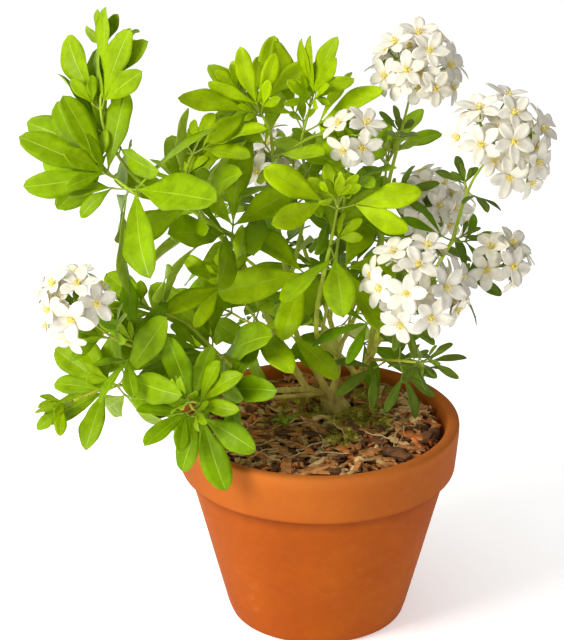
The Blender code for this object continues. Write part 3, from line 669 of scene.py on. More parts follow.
def grow_leaves(mass, stem, name, space):
    """Pairs of leaves up the stem, each pair square to the last, closer to the stem at the tip."""
    dice = random.Random(mass.seed)
    stalks, leaflets = [], []
    low, high = mass.spread
    for k, share in enumerate(mass.nodes):
        node, tangent = along(stem.path, share)
        rise = k / max(1, len(mass.nodes) - 1)
        angle = low + (high - low) * rise
        size = mass.leaf * MM * (1 - TIP_SHRINK * rise * rise) * dice.uniform(*LEAF_SIZES)
        fan = LEAFLET_FAN[0] + (LEAFLET_FAN[1] - LEAFLET_FAN[0]) * rise
        for half in range(2):
            around = mass.roll + 90 * k + 180 * half + dice.uniform(-PAIR_STRAY, PAIR_STRAY)
            way = leaf_way(tangent, around, angle)
            made = place_leaf(node, way, size, fan, mass, name, space, dice)
            stalks += made[0]
            leaflets += made[1]
    return stalks, leaflets


def head_frame(stem):
    """Where a flower head starts, its axis and the two ways square to it."""
    tip, axis = along(stem.path, 1.0)
    axis = (axis + HEAD_TURN * facing(tip)).normalized()
    up = across(axis)
    return tip, axis, up, axis.cross(up)


def dome_way(axis, up, side, height, angle):
    """The way from a dome's centre to a point of it, at a height, 1 at the top, and an angle."""
    out = math.sqrt(max(0.0, 1 - height * height))
    return (axis * height + out * spoke(up, side, angle)).normalized()


def drawn(low, high, dice):
    """A vector of three numbers drawn between two."""
    return Vector([dice.uniform(low, high) for _ in range(3)])


def look_out(way, tip, pull, spread, dice):
    """The way that a flower looks: out of its head, and a little towards the light."""
    return (way + pull * facing(tip) + drawn(-spread, spread, dice)).normalized()


def grow_flowers(mass, stem, name, space):
    """A domed head: stalks from the stem's tip, each ending in a flower that looks outwards."""
    if not mass.flowers:
        return [], []
    dice = random.Random(HEAD_SEED + mass.seed)
    tip, axis, up, side = head_frame(stem)
    dome = mass.dome * MM
    centre = tip + axis * (HEAD_RISE * dome)
    branches = [tip + axis * (HEAD_CORE * dome)]
    for n in range(HEAD_BRANCHES):
        angle = math.tau * n / HEAD_BRANCHES + mass.roll
        way = (axis * BRANCH_RISE + up * math.cos(angle) + side * math.sin(angle)).normalized()
        end = tip + way * (BRANCH_REACH * dome)
        if space.free(stalk_shell(Stalk([tip, end], [BRANCH_TIP + TEST_ROOM] * 2, None)), name, OWN):
            branches.append(end)
    stalks = [Stalk([tip - axis * 0.6 * MM, end], [STALK_ROOT, BRANCH_TIP], None) for end in branches]
    roots = [tip.lerp(end, share) for end in branches for share in FLOWER_ROOTS]
    flowers = []
    for n in range(mass.flowers):
        height = 1 - (n + 0.5) / mass.flowers * HEAD_DEPTH
        way = dome_way(axis, up, side, height, n * GOLDEN_ANGLE + mass.roll)
        look = look_out(way, tip, 0.5, 0.2, dice)
        radius = FLOWER_RADIUS * dice.uniform(*FLOWER_SIZES)
        spin = dice.uniform(0, math.tau)
        for push in FLOWER_PUSHES:
            place = centre + way * dome * push
            root = min(roots, key=lambda p: (p - place).length)
            flower = Flower(place, look, radius, spin, root)
            heart = flower._replace(radius=FLOWER_HEART * radius)
            full = flower._replace(radius=radius + TEST_ROOM)
            if space.free(coarse_flower(full), name, OWN) and space.free(star_only(heart), name, OWN_WOOD):
                break
        else:
            continue
        flowers.append(flower)
        roots.remove(flower.root)
        space.add(coarse_flower(flower), name, "flower")
    for stalk in stalks:
        space.add(stalk_shell(stalk), name, "stalk")
    return stalks, flowers


def grow():
    """The whole plant: limbs, and for each mass its stem, stalks, leaflets and flowers."""
    limbs = grow_limbs()
    space = Space()
    for name, (path, radii) in limbs.items():
        space.add(tube(path, radii, LIMB_SIDES), name, "limb")
    stems = {name: grow_stem(mass, limbs) for name, mass in MASSES.items()}
    for name, stem in stems.items():
        space.add(stalk_shell(stem), name, "stem")
    heads = {name: grow_flowers(mass, stems[name], name, space) for name, mass in MASSES.items()}
    plant = {}
    for name, mass in MASSES.items():
        stalks, leaflets = grow_leaves(mass, stems[name], name, space)
        plant[name] = (stems[name], heads[name][0] + stalks, leaflets, heads[name][1])
    return limbs, plant, space


def inner_radius(height):
    """The radius of the pot's inner wall at a height."""
    neck = POT_HEIGHT - RIM_BAND
    foot = FOOT_RADIUS - BODY_WALL
    if height > neck:
        share = (height - neck) / RIM_BAND
        return NECK_RADIUS - BODY_WALL + share * (RIM_RADIUS - RIM_WALL - NECK_RADIUS + BODY_WALL)
    share = (height - FLOOR_THICKNESS) / (neck - FLOOR_THICKNESS)
    return foot + share * (NECK_RADIUS - BODY_WALL - foot)


def screen(red, green, blue):
    """A colour in screen values from 0 to 255, as a shader takes it."""
    shares = (red / 255, green / 255, blue / 255)
    return tuple(((c + 0.055) / 1.055) ** 2.4 if c > 10 / 255 else c / 12.92 for c in shares)


WHITE = (1, 1, 1)
BLACK = (0, 0, 0)
SHADER = "Principled BSDF"
FINE_BUMP = 0.0003

# Leaf tints, dealt out a leaf at a time: lime for young growth, olive for the narrow leaves under flowers
TINTS = {
    # The brightest lime is painted light, dealt only to sprays that stand in shade
    "lime_bright": screen(168, 198, 0),
    "lime_pale": screen(152, 182, 0),
    "lime": screen(140, 171, 0),
    "lime_deep": screen(131, 164, 0),
    "green": screen(122, 158, 0),
    "green_deep": screen(112, 152, 0),
    "olive": screen(118, 140, 40),
    "olive_deep": screen(96, 120, 32),
}
DARK_TINTS = ("olive", "olive_deep", "green_deep")
FRESH = ("lime_pale", "lime", "lime_deep", "lime_deep", "green")
# Sprays in the key light are dealt plainer tints, sprays in shade the lightest ones, as painted light
# against their shade
LIT_SPRAY_TINTS = ("lime", "lime_deep", "green", "lime_deep")
SHADE_LIFT_TINTS = ("lime_bright", "lime_pale", "lime_pale", "lime")
MIXED = ("lime", "lime_deep", "green", "green", "green_deep")
DARK = ("olive", "olive_deep", "olive", "green_deep")
SPRAY_TINTS = {
    "leaves_top_left": LIT_SPRAY_TINTS,
    "leaves_upper_left": SHADE_LIFT_TINTS,
    "leaves_top_middle": SHADE_LIFT_TINTS,
    "leaves_top_right": SHADE_LIFT_TINTS,
    "leaves_far_left": LIT_SPRAY_TINTS,
    "leaves_centre": SHADE_LIFT_TINTS,
    "leaves_middle_low": SHADE_LIFT_TINTS,
    "leaves_front_low": MIXED,
    "leaves_back_middle": FRESH,
    "leaves_back_high": FRESH,
    "leaves_left": FRESH,
    "leaves_lower_left": LIT_SPRAY_TINTS,
    "flowers_left": MIXED,
    "flowers_middle": MIXED,
    "leaves_right_low": DARK,
}
LEAF_FINISHES = [*TINTS, "leaf_underside_young", "leaf_underside_dark", "midrib_young", "midrib_dark"]

# Plain finishes: a colour in screen values, roughness, and where given the bump and the bump's grain
PLAIN = {
    "midrib_young": ((152, 180, 18), 0.5),
    "midrib_dark": ((120, 142, 44), 0.5),
    "leaf_underside_young": ((158, 182, 38), 0.6),
    "leaf_underside_dark": ((122, 142, 66), 0.6),
    "leaf_stalk": ((146, 166, 40), 0.5),
    "petal": ((242, 237, 219), 0.6, 0.15, 500),
    "petal_underside": ((240, 234, 214), 0.6, 0.1, 500),
    "flower_heart": ((232, 216, 84), 0.5),
    "anther": ((252, 224, 100), 0.6),
    "filament": ((244, 238, 196), 0.6),
    "calyx": ((156, 168, 78), 0.6),
    "moss": ((164, 154, 44), 0.95, 0.6, 400),
    "moss_pale": ((232, 216, 102), 0.95, 0.6, 400),
    "straw": ((232, 202, 150), 0.8, 0.3, 500),
    "dry_leaf": ((172, 104, 44), 0.75, 0.4, 400),
}

# Bark chips: the dark and the pale of their grain
CHIP_TINTS = {
    "chip_dark": (screen(54, 32, 14), screen(128, 80, 40)),
    "chip_brown": (screen(124, 76, 34), screen(224, 154, 86)),
    "chip_red": (screen(154, 78, 30), screen(248, 150, 74)),
    "chip_tan": (screen(192, 140, 80), screen(255, 220, 160)),
    "chip_grey": (screen(122, 96, 56), screen(214, 174, 112)),
}
CHIP_MIX = (
    "chip_brown", "chip_brown", "chip_dark", "chip_red", "chip_dark", "chip_tan", "chip_grey", "chip_brown",
)

# Fine leaflets: rows along, columns across in half widths, the midrib's own strip in the middle
LEAF_ROWS = 20
LEAF_COLUMNS = (-1.0, -0.60, -0.035, 0.035, 0.60, 1.0)
LEAF_EDGE = 0.22 * MM
LEAF_BODY = 0.42 * MM
RIB_RISE = 0.7
RIB_KEEL = 1.5
LEAF_TWIST = 0.45
LEAF_BEND = 0.08
FULLNESS = 0.80
BLUNT = 0.30
QUILT = 0.019
QUILT_WAVES = 5
MARGIN_WAVE = 0.09
MARGIN_WAVES = 1.7
TIP_CURL = 0.05
WHOLE_WAVE = 6.3

# Seeds of the finer pieces
SHOOT_SEED = 5000
SECOND_ROW_SEED = 7000
DRESS_SEED = 9000
SOIL_SEED = 77

# Fine flowers: radii along their tubes, and how often a place is tried
PETAL_ROWS = 7
PETAL_COLUMNS = (-1.0, -0.5, 0.0, 0.5, 1.0)
PETAL_HALF = 0.30
PETAL_THICK = 0.14 * MM
PETAL_CLAW = 0.06
HEART_SIZE = (2.8 * MM, 3.6 * MM)
STAMENS = 9
STAMEN_LENGTH = 4.0 * MM
FILAMENT = [0.22 * MM, 0.16 * MM]
ANTHER = 0.8 * MM
SEPALS = 5
SEPAL = [0.9 * MM, 0.8 * MM, 0.1 * MM]
SEPAL_REACH = 3.4
BUD_STALK = [0.45 * MM] * 4
BUD_LENGTHS = (3.6, 6.0)
BUD_ROOM = [2.6 * MM] * 2
BUD_BODY = [0.8 * MM, 2.2 * MM]
FLOWER_STALK = [1.1 * MM, 0.7 * MM, 0.55 * MM, 0.5 * MM, 0.52 * MM, 0.6 * MM]
FLOWER_TRIES = 70
BUD_TRIES = 40

# Bark on the trunk and the limbs
BARK_SIDES = 12
BARK_STEP = 2.2 * MM
NODE_EVERY = 17 * MM
FOOT_FADE = 3.5 * MM
SCAR = 1.5 * MM
SCAR_RISE = 0.20
BARK_GRAINS = ((260, 0.13), (700, 0.06))
TWIG_BARK_SIDES = 8
TWIG_SWELL = 0.25
SIDE_STEM = 1.25 * MM
ROOTED = 3 * MM
TRUNK_SIDES = 20
FORK_SIDES = 12
TRUNK_VOXEL = 0.55 * MM
TRUNK_RIDGE = 0.55 * MM
RIDGE_GRAIN = (420, 420, 90)

# Stalks and the shoots in the leaf axils
LEAF_STALK = [0.95 * MM, 0.72 * MM, 0.6 * MM, 0.58 * MM, 0.66 * MM, 0.85 * MM]
SAME_LEAF = 3 * MM
SHOOT_STALK = 0.35
SHOOT_FAN = 44

# Pot
POT_FINE_SIDES = 160
POT_STEP = 0.006
POT_RELIEF = ((0.28 * MM, 22), (0.05 * MM, 160))
HOLE_SIDES = 32

# Bark cover on the soil
SOIL_FLAT = 0.052
SOIL_EDGE = 0.012
CHIPS = 980
CHIP_CELL = 1.5 * MM
CHIP_TRIES = 7
CHIP_ROWS = 7
CHIP_COLUMNS = 4
LONG_CHIPS = (7, 8, 10, 12, 14, 17, 21)
SHORT_CHIPS = (3, 4, 5, 6, 8, 10)
CHIP_LENGTHS = (0.85, 1.15)
CHIP_SLIM = (0.34, 0.78)
CHIP_WIDEST = (4.5, 10.0)
CHIP_THICK = (0.9, 2.3)
CHIP_BOW = (-0.05, 0.09)
CHIP_RAG = 0.24
CHIP_NIBBLE = (0.55, 1.15)
STEEPEST = 0.45
LEAST_DEPTH = 3.2 * MM
STRAWS = 22
STRAW_CLEARANCE = 13
STRAW_LENGTHS = (6, 16)
STRAW_RADII = (0.35, 0.7)

# Moss: each patch's middle and reach in millimetres
MOSS_PATCHES = (
    (18, 8, 17), (-12, 20, 15), (36, 4, 14), (14, -24, 12),
    (38, 44, 14), (-26, 2, 11), (30, 22, 12), (2, 46, 10),
)
MOSS_DENSITY = 0.58
MOSS_CUSHIONS = (1.3, 2.9)
MOSS_SHOOTS = 11
MOSS_REACHES = (1.6, 3.6)
MOSS_SHOOT = [0.22 * MM, 0.16 * MM, 0.03 * MM]

# Litter in millimetres: the straws that show, fallen leaves (place, turn, length) and a seedling
FIRST_STRAWS = [
    [(-12, 8), (-4, -10), (5, -30)],
    [(-14, -46), (-5, -53), (6, -55)],
    [(40, -30), (52, -18), (58, -4)],
]
FALLEN_LEAVES = ((-28, 66, 20, 24), (-20, 58, 100, 15), (52, 38, 200, 13))
SEEDLING_PLACE = (-23, -10)
SEEDLING_TURNS = (200, 285, 20, 110)

# Light and camera. A lamp is its place, aim, size, power and colour.
WORLD_LIGHT = 0.40
KEY_LAMP = ((-1.25, -0.92, 1.10), (0, 0, 0.2), 0.8, 29.0, (1.0, 0.97, 0.92))
TOP_LAMP = ((-0.1, 0.3, 1.5), (0, 0, 0.25), 0.9, 5.0, WHITE)
FLOOR_GLOW = 0.49
FLOOR_HALF = 4.0
SENSOR = 24
PICTURE_HEIGHT = 640
FOCAL_PIXELS = 2969
CAMERA_PLACE = (0, -1.8, 0.9818)
CAMERA_DOWN = 23.17
CAMERA_TURN = 0.77


class Build:
    """Collects shells with a finish each, and makes one object of them."""

    def __init__(self, name, finishes):
        self.name, self.finishes = name, finishes
        self.points, self.faces, self.slots = [], [], []

    def add(self, points, faces, kinds):
        """Adds a shell, with one finish for all its faces or a finish for each."""
        start = len(self.points)
        self.points += points
        self.faces += [tuple(start + n for n in face) for face in faces]
        if isinstance(kinds, str):
            kinds = [kinds] * len(faces)
        self.slots += [self.finishes.index(kind) for kind in kinds]

    def make(self, body="root", smooth_shade=True):
        if not self.points:
            return None
        mesh = bpy.data.meshes.new(self.name)
        mesh.from_pydata(self.points, [], self.faces)
        for finish in self.finishes:
            mesh.materials.append(FINISHES[finish])
        mesh.polygons.foreach_set("material_index", self.slots)
        mesh.polygons.foreach_set("use_smooth", [smooth_shade] * len(mesh.polygons))
        mesh.update()
        obj = bpy.data.objects.new(self.name, mesh)
        bpy.context.scene.collection.objects.link(obj)
        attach(obj, body)
        return obj


def new_finish(name, colour, roughness, gloss=0.5):
    """A new material of one colour, and its node tree."""
    made = bpy.data.materials.new(name)
    made.use_nodes = True
    inputs = made.node_tree.nodes[SHADER].inputs
    inputs["Base Color"].default_value = (*colour, 1)
    inputs["Roughness"].default_value = roughness
    inputs["Specular IOR Level"].default_value = gloss
    made.diffuse_color = (*colour, 1)
    return made, made.node_tree


def add_node(tree, kind, **values):
    node = tree.nodes.new(kind)
    for key, value in values.items():
        if key in node.inputs:
            node.inputs[key].default_value = value
        else:
            setattr(node, key, value)
    return node


def place_noise(tree, scale, detail=3.0, roughness=0.5, stretch=WHITE):
    """Noise that stays where it is on the object."""
    coordinates = add_node(tree, "ShaderNodeTexCoord")
    mapping = add_node(tree, "ShaderNodeMapping", Scale=stretch)
    cloud = add_node(tree, "ShaderNodeTexNoise", Scale=scale, Detail=detail, Roughness=roughness)
    tree.links.new(coordinates.outputs["Object"], mapping.inputs["Vector"])
    tree.links.new(mapping.outputs["Vector"], cloud.inputs["Vector"])
    return cloud.outputs["Fac"]


def place_part(tree, coordinates, part):
    """One part, X, Y or Z, of a point's coordinates."""
    parts = add_node(tree, "ShaderNodeSeparateXYZ")
    tree.links.new(add_node(tree, "ShaderNodeTexCoord").outputs[coordinates], parts.inputs[0])
    return parts.outputs[part]


def remapped(tree, source, start=0.0, end=1.0, low=0.0, high=1.0):
    """A value that goes from start to end, made to go from low to high."""
    limits = {"From Min": start, "From Max": end, "To Min": low, "To Max": high}
    node = add_node(tree, "ShaderNodeMapRange", **limits)
    tree.links.new(source, node.inputs["Value"])
    return node.outputs["Result"]


def ramp(tree, source, stops):
    """Colours for a value: stops of (place, colour)."""
    node = add_node(tree, "ShaderNodeValToRGB")
    marks = node.color_ramp.elements
    while len(marks) < len(stops):
        marks.new(0.5)
    for mark, (place, colour) in zip(marks, stops):
        mark.position = place
        mark.color = (*colour, 1)
    tree.links.new(source, node.inputs["Fac"])
    return node.outputs["Color"]


def shade(colour, by):
    return tuple(min(1.0, c * by) for c in colour)


def blend(a, b, share):
    """A colour at a share of the way from a to b."""
    return tuple(x + (y - x) * share for x, y in zip(a, b))


def blend_colours(tree, a, b, factor, how="MIX"):
    node = add_node(tree, "ShaderNodeMix", data_type="RGBA", blend_type=how)
    for socket, value in ((node.inputs[6], a), (node.inputs[7], b)):
        if isinstance(value, tuple):
            socket.default_value = (*value, 1)
        else:
            tree.links.new(value, socket)
    if isinstance(factor, float):
        node.inputs[0].default_value = factor
    else:
        tree.links.new(factor, node.inputs[0])
    return node.outputs[2]


def clouds(tree, grain, stops):
    """Colours spread over the object by noise of a grain: its scale, detail, roughness and stretch."""
    return ramp(tree, place_noise(tree, *grain), stops)


def complete(made, colour, grain, strength, distance):
    """The material, with its colour linked and a bump of noise added."""
    tree = made.node_tree
    inputs = tree.nodes[SHADER].inputs
    bump = add_node(tree, "ShaderNodeBump", Strength=strength, Distance=distance)
    tree.links.new(colour, inputs["Base Color"])
    tree.links.new(place_noise(tree, *grain), bump.inputs["Height"])
    tree.links.new(bump.outputs["Normal"], inputs["Normal"])
    return made


def leaf_finish(name, colour):
    """A matt leaf in soft patches of lighter and darker green, with fine mottling."""
    made, tree = new_finish(name, colour, 0.42, 0.09)
    patches = [(0.30, shade(colour, 0.76)), (0.52, colour), (0.74, shade(colour, 1.16))]
    mottle = clouds(tree, (340, 3, 0.6), [(0.36, (0.80, 0.86, 0.70)), (0.58, WHITE)])
    tint = blend_colours(tree, clouds(tree, (70, 2), patches), mottle, 0.7, "MULTIPLY")
    return complete(made, tint, (900, 2), 0.12, FINE_BUMP)


def plain_finish(name, colour, roughness, bump=0.1, grain=700):
    made, tree = new_finish(name, colour, roughness)
    tint = clouds(tree, (150, 3), [(0.3, shade(colour, 0.84)), (0.7, shade(colour, 1.1))])
    return complete(made, tint, (grain, 2), bump, FINE_BUMP)


def stem_finish():
    """Green shoots above, tan and olive bark towards the foot, made paler there as painted light against the
    leaves' shade.
    """
    made, tree = new_finish("stem_bark", screen(150, 150, 60), 0.62)
    # Tan bark at the foot, paler than its own colour as painted light against the shade under the leaves,
    # turning to green shoots above
    wood_with_shade_lift = ramp(tree, remapped(tree, place_part(tree, "Object", "Z"), 0.125, 0.31), [
        (0.0, screen(232, 204, 122)),
        (0.14, screen(232, 214, 112)),
        (0.34, screen(200, 206, 66)),
        (0.75, screen(168, 194, 32)),
    ])
    streaks = clouds(tree, (130, 4, 0.6, (1, 1, 0.18)), [(0.38, (0.52, 0.46, 0.32)), (0.56, WHITE)])
    bark = blend_colours(tree, wood_with_shade_lift, streaks, 0.6, "MULTIPLY")
    return complete(made, bark, (420, 4, 0.6, (1, 1, 0.25)), 0.35, 0.0005)


def terracotta_finish():
    """Clouded clay with a pale bloom, darker at the foot, painted shade under the band, a paler band of wear
    and painted highlight.
    """
    body = screen(173, 82, 12)
    made, tree = new_finish("terracotta_clay", body, 0.72, 0.12)
    patches = [(0.30, screen(163, 75, 10)), (0.52, body), (0.74, screen(183, 93, 18))]
    fine = clouds(tree, (160, 5, 0.65), [(0.34, (0.86, 0.84, 0.82)), (0.60, WHITE)])
    clay = blend_colours(tree, clouds(tree, (14, 3, 0.55), patches), fine, 0.55, "MULTIPLY")
    bloom = add_node(tree, "ShaderNodeMath", operation="MULTIPLY")
    bloom.inputs[1].default_value = 0.16
    tree.links.new(clouds(tree, (34, 5, 0.7), [(0.62, BLACK), (0.78, WHITE)]), bloom.inputs[0])
    dusty = blend_colours(tree, clay, screen(222, 150, 96), bloom.outputs[0])
    rise = remapped(tree, place_part(tree, "Object", "Z"), 0.0, POT_HEIGHT)
    step = 1 - RIM_BAND / POT_HEIGHT
    # Darker towards the foot, and painted shade as a dark line just under the band, in its recess
    dark_foot_and_band_shade = ramp(tree, rise, [
        (0.0, (0.86, 0.84, 0.82)),
        (0.05, WHITE),
        (step - 0.075, WHITE),
        (step - 0.006, (0.66, 0.62, 0.60)),
        (step + 0.012, WHITE),
    ])
    # The band and the top of the lip paler than the body: partly wear, partly painted highlight where they
    # catch the light
    wear_and_highlight = ramp(tree, rise, [
        (step, BLACK),
        (step + 0.02, (0.28, 0.28, 0.28)),
        (0.93, (0.30, 0.30, 0.30)),
        (0.985, (0.55, 0.55, 0.55)),
    ])
    banded = blend_colours(tree, dusty, screen(206, 120, 50), wear_and_highlight)
    rough = remapped(tree, place_noise(tree, 60, 4), 0.0, 1.0, 0.60, 0.86)
    tree.links.new(rough, tree.nodes[SHADER].inputs["Roughness"])
    colour = blend_colours(tree, banded, dark_foot_and_band_shade, 1.0, "MULTIPLY")
    return complete(made, colour, (520, 5, 0.7), 0.22, 0.0005)


def soil_finish():
    made, tree = new_finish("compost", screen(74, 50, 32), 0.95)
    crumbs = clouds(tree, (260, 5, 0.7), [(0.35, screen(36, 22, 12)), (0.65, screen(78, 52, 30))])
    return complete(made, crumbs, (300, 5, 0.7), 0.9, 0.002)


def chip_finish(name, dark, pale):
    made, tree = new_finish(name, pale, 0.85)
    stops = [(0.36, dark), (0.50, blend(dark, pale, 0.55)), (0.66, pale)]
    return complete(made, clouds(tree, (300, 4, 0.65, (0.35, 1, 1)), stops), (600, 4, 0.7), 0.6, 0.0007)


def make_finishes():
    made = {name: leaf_finish("leaf_" + name, colour) for name, colour in TINTS.items()}
    made |= {name: plain_finish(name, screen(*colour), *rest) for name, (colour, *rest) in PLAIN.items()}
    made |= {name: chip_finish(name, *grain) for name, grain in CHIP_TINTS.items()}
    return made | {"stem": stem_finish(), "clay": terracotta_finish(), "compost": soil_finish()}


def curve_between(start, middle, end, count):
    """Points on a bend from start to end that leans towards middle."""
    shares = [k / count for k in range(count + 1)]
    return [start.lerp(middle, share).lerp(middle.lerp(end, share), share) for share in shares]


# Ways round a face through its four corners
FORWARDS = (0, 1, 2, 3)
FORWARDS_FROM_NEXT = (1, 2, 3, 0)
BACKWARDS = (0, 3, 2, 1)


def slab_faces(rows, columns, order):
    """The faces of a slab made of a front and a back grid of points: a front and a back face for each
    cell, then the rim. `order` is the way round a front face through its cell's corners."""
    layer = (rows + 1) * columns
    faces = []
    for row in range(rows):
        for a in range(row * columns, (row + 1) * columns - 1):
            corners = (a, a + 1, a + columns + 1, a + columns)
            front = tuple(corners[n] for n in order)
            faces.append(front)
            faces.append(tuple(layer + n for n in reversed(front)))
    rim = [row * columns for row in range(rows + 1)]
    rim += range(rows * columns + 1, layer)
    rim += [row * columns + columns - 1 for row in range(rows - 1, -1, -1)]
    rim += range(columns - 2, 0, -1)
    for a, b in zip(rim, rim[1:] + rim[:1]):
        if order == BACKWARDS:
            a, b = b, a
        faces.append((a, b, layer + b, layer + a))
    return faces


def fine_leaflet(leaf, dice):
    """A leaflet with a top face, a paler underside and a midrib, as (points, faces, kinds)."""
    side = leaf.direction.cross(leaf.normal)
    twist = dice.uniform(-LEAF_TWIST, LEAF_TWIST)
    bend = dice.uniform(-LEAF_BEND, LEAF_BEND)
    curl = TIP_CURL * dice.uniform(-0.3, 2.0)
    phase = dice.uniform(0, math.tau)
    waves = MARGIN_WAVE * dice.uniform(0.5, 1.6)
    uneven = [
        (dice.uniform(0.02, 0.07), dice.uniform(0, WHOLE_WAVE), dice.uniform(1.2, 2.6)) for _ in range(2)
    ]
    points = []
    for face in (1, -1):
        for row in range(LEAF_ROWS + 1):
            share = -0.01 + 1.01 * (row / LEAF_ROWS) ** 0.92
            inside = min(max(share, 0.0), 1.0)
            full = half_width(inside) ** (FULLNESS - BLUNT * inside ** 2)
            half = max(leaf.width / 2 * full, 0.5 * MM * (1 - inside))
            turn = twist * inside
            cross = spoke(side, leaf.normal, turn)
            normal = leaf.normal * math.cos(turn) - side * math.sin(turn)
            middle = (
                leaf.root
                + leaf.direction * (leaf.length * share)
                + side * (bend * leaf.length * inside * inside)
                - leaf.normal * (leaf.length * (leaf.sag * inside ** 2 + curl * inside ** 5))
            )
            for column in LEAF_COLUMNS:
                out = abs(column)
                swell, start, times = uneven[column > 0]
                wide = half * (1 + swell * math.sin(start + WHOLE_WAVE * times * inside) - 0.5 * swell)
                lift = LEAF_FOLD * half * out ** 1.25
                lift += waves * half * math.sin(math.tau * MARGIN_WAVES * inside + phase) * column * out
                veins = math.sin(math.tau * (QUILT_WAVES * inside - 0.5 * out))
                lift += QUILT * leaf.width * veins * 4 * out * (1 - out)
                body = LEAF_EDGE if out == 1 else LEAF_BODY
                if out < 0.1:
                    body *= RIB_KEEL if face < 0 else RIB_RISE
                points.append(middle + cross * (wide * column) + normal * (lift + face * body / 2))
    faces = slab_faces(LEAF_ROWS, len(LEAF_COLUMNS), FORWARDS)
    strips = len(LEAF_COLUMNS) - 1
    kinds = ["top", "under"] * strips
    kinds[strips - 1 : strips + 1] = "rib", "rib_under"
    kinds *= LEAF_ROWS
    return points, faces, kinds + ["under"] * (len(faces) - len(kinds))


def fine_petal(flower, middle, up, side, dice):
    """One cupped oval petal, as (points, faces, kinds)."""
    radial = spoke(up, side, middle)
    beside = flower.axis.cross(radial)
    reach = flower.radius * dice.uniform(0.94, 1.05)
    cup = PETAL_CUP * dice.uniform(0.75, 1.5)
    curl = dice.uniform(0.10, 0.30)
    roll = dice.uniform(-0.12, 0.12)
    points = []
    for face in (1, -1):
        for row in range(PETAL_ROWS + 1):
            t = row / PETAL_ROWS
            out = PETAL_CLAW + 0.94 * t
            full = max(math.sin(math.pi * out ** 1.12) ** 0.55, 0.24 if t < 0.5 else 0.0)
            half = flower.radius * PETAL_HALF * full
            height = reach * (cup * 1.7 * out - curl * out * out)
            for column in PETAL_COLUMNS:
                hollow = half * (0.22 * column * column + roll * column)
                lift = height + hollow + face * PETAL_THICK * (1 - 0.5 * abs(column))
                points.append(
                    flower.centre + radial * (reach * out) + beside * (half * column) + flower.axis * lift
                )
    faces = slab_faces(PETAL_ROWS, len(PETAL_COLUMNS), BACKWARDS)
    kinds = ["petal", "petal_underside"] * ((len(PETAL_COLUMNS) - 1) * PETAL_ROWS)
    return points, faces, kinds + ["petal_underside"] * (len(faces) - len(kinds))


def capped_faces(rings, sides):
    """The faces of a closed solid whose points are a pole, its rings and the other pole."""
    faces = []
    top = 1 + (rings - 1) * sides
    for n in range(sides):
        m = (n + 1) % sides
        faces.append((0, 1 + m, 1 + n))
        for a in range(1, top, sides):
            faces.append((a + n, a + m, a + sides + m, a + sides + n))
        faces.append((top + n, top + m, top + sides))
    return faces


def blob(centre, axis, length, width, rows=4, sides=6, blunt=1.0):
    """A closed oval along an axis, standing on centre."""
    up = across(axis)
    side = axis.cross(up)
    points = [centre]
    for row in range(1, rows):
        t = row / rows
        radius = width / 2 * math.sin(math.pi * t ** blunt)
        for n in range(sides):
            points.append(centre + axis * (length * t) + radius * spoke(up, side, math.tau * n / sides))
    points.append(centre + axis * length)
    return points, capped_faces(rows - 1, sides)


def add_flower(flower, petals, hearts, greens, dice):
    """Five petals, the heart with its stamens, the calyx behind them and a bent stalk."""
    up = across(flower.axis)
    side = flower.axis.cross(up)
    for petal in range(PETALS):
        middle = flower.spin + math.tau * petal / PETALS + dice.uniform(-0.06, 0.06)
        petals.add(*fine_petal(flower, middle, up, side, dice))
    base = flower.centre - flower.axis * 0.4 * MM
    hearts.add(*blob(base, flower.axis, *HEART_SIZE), "flower_heart")
    for n in range(STAMENS):
        angle = math.tau * (n + dice.uniform(-0.25, 0.25)) / STAMENS
        lean = 0.35 + 0.30 * (n % 2) + dice.uniform(-0.1, 0.1)
        way = (flower.axis + lean * spoke(up, side, angle)).normalized()
        foot = base + way * 0.6 * MM
        tip = foot + way * STAMEN_LENGTH * dice.uniform(0.8, 1.05)
        hearts.add(*tube([foot, tip], FILAMENT, 3), "filament")
        tilted = (way + 0.6 * flower.axis.cross(way)).normalized()
        hearts.add(*blob(tip - tilted * ANTHER, tilted, 2.0 * ANTHER, 1.5 * ANTHER, 3, 5), "anther")
    for n in range(SEPALS):
        out = spoke(up, side, flower.spin + math.tau * (n + 0.5) / SEPALS)
        foot = flower.centre - flower.axis * 1.5 * MM
        end = flower.centre + out * SEPAL_REACH * MM - flower.axis * 0.3 * MM
        sepal = [foot, foot.lerp(end, 0.5) + out * 0.3 * MM, end]
        greens.add(*tube(sepal, SEPAL, 4), "calyx")
    neck = flower.centre - flower.axis * NECK
    bent = neck.lerp(flower.root, 0.45) - flower.axis * 0.18 * (neck - flower.root).length
    path = [flower.centre - flower.axis * 0.6 * MM, *curve_between(neck, bent, flower.root, 4)]
    greens.add(*tube(path, FLOWER_STALK, 5), "leaf_stalk")


def add_bud(root, tip, greens, petals, dice):
    """A closed bud on its stalk, with its calyx."""
    way = (tip - root).normalized()
    size = dice.uniform(*BUD_LENGTHS) * MM
    stalk = curve_between(root, root.lerp(tip, 0.5) - Vector((0, 0, MM)), tip, 3)
    greens.add(*tube(stalk, BUD_STALK, 4), "leaf_stalk")
    greens.add(*blob(tip - way * 0.8 * MM, way, 0.55 * size, 0.72 * size), "calyx")
    petals.add(*blob(tip, way, size, 0.78 * size, 5, 7, 1.15), "petal")


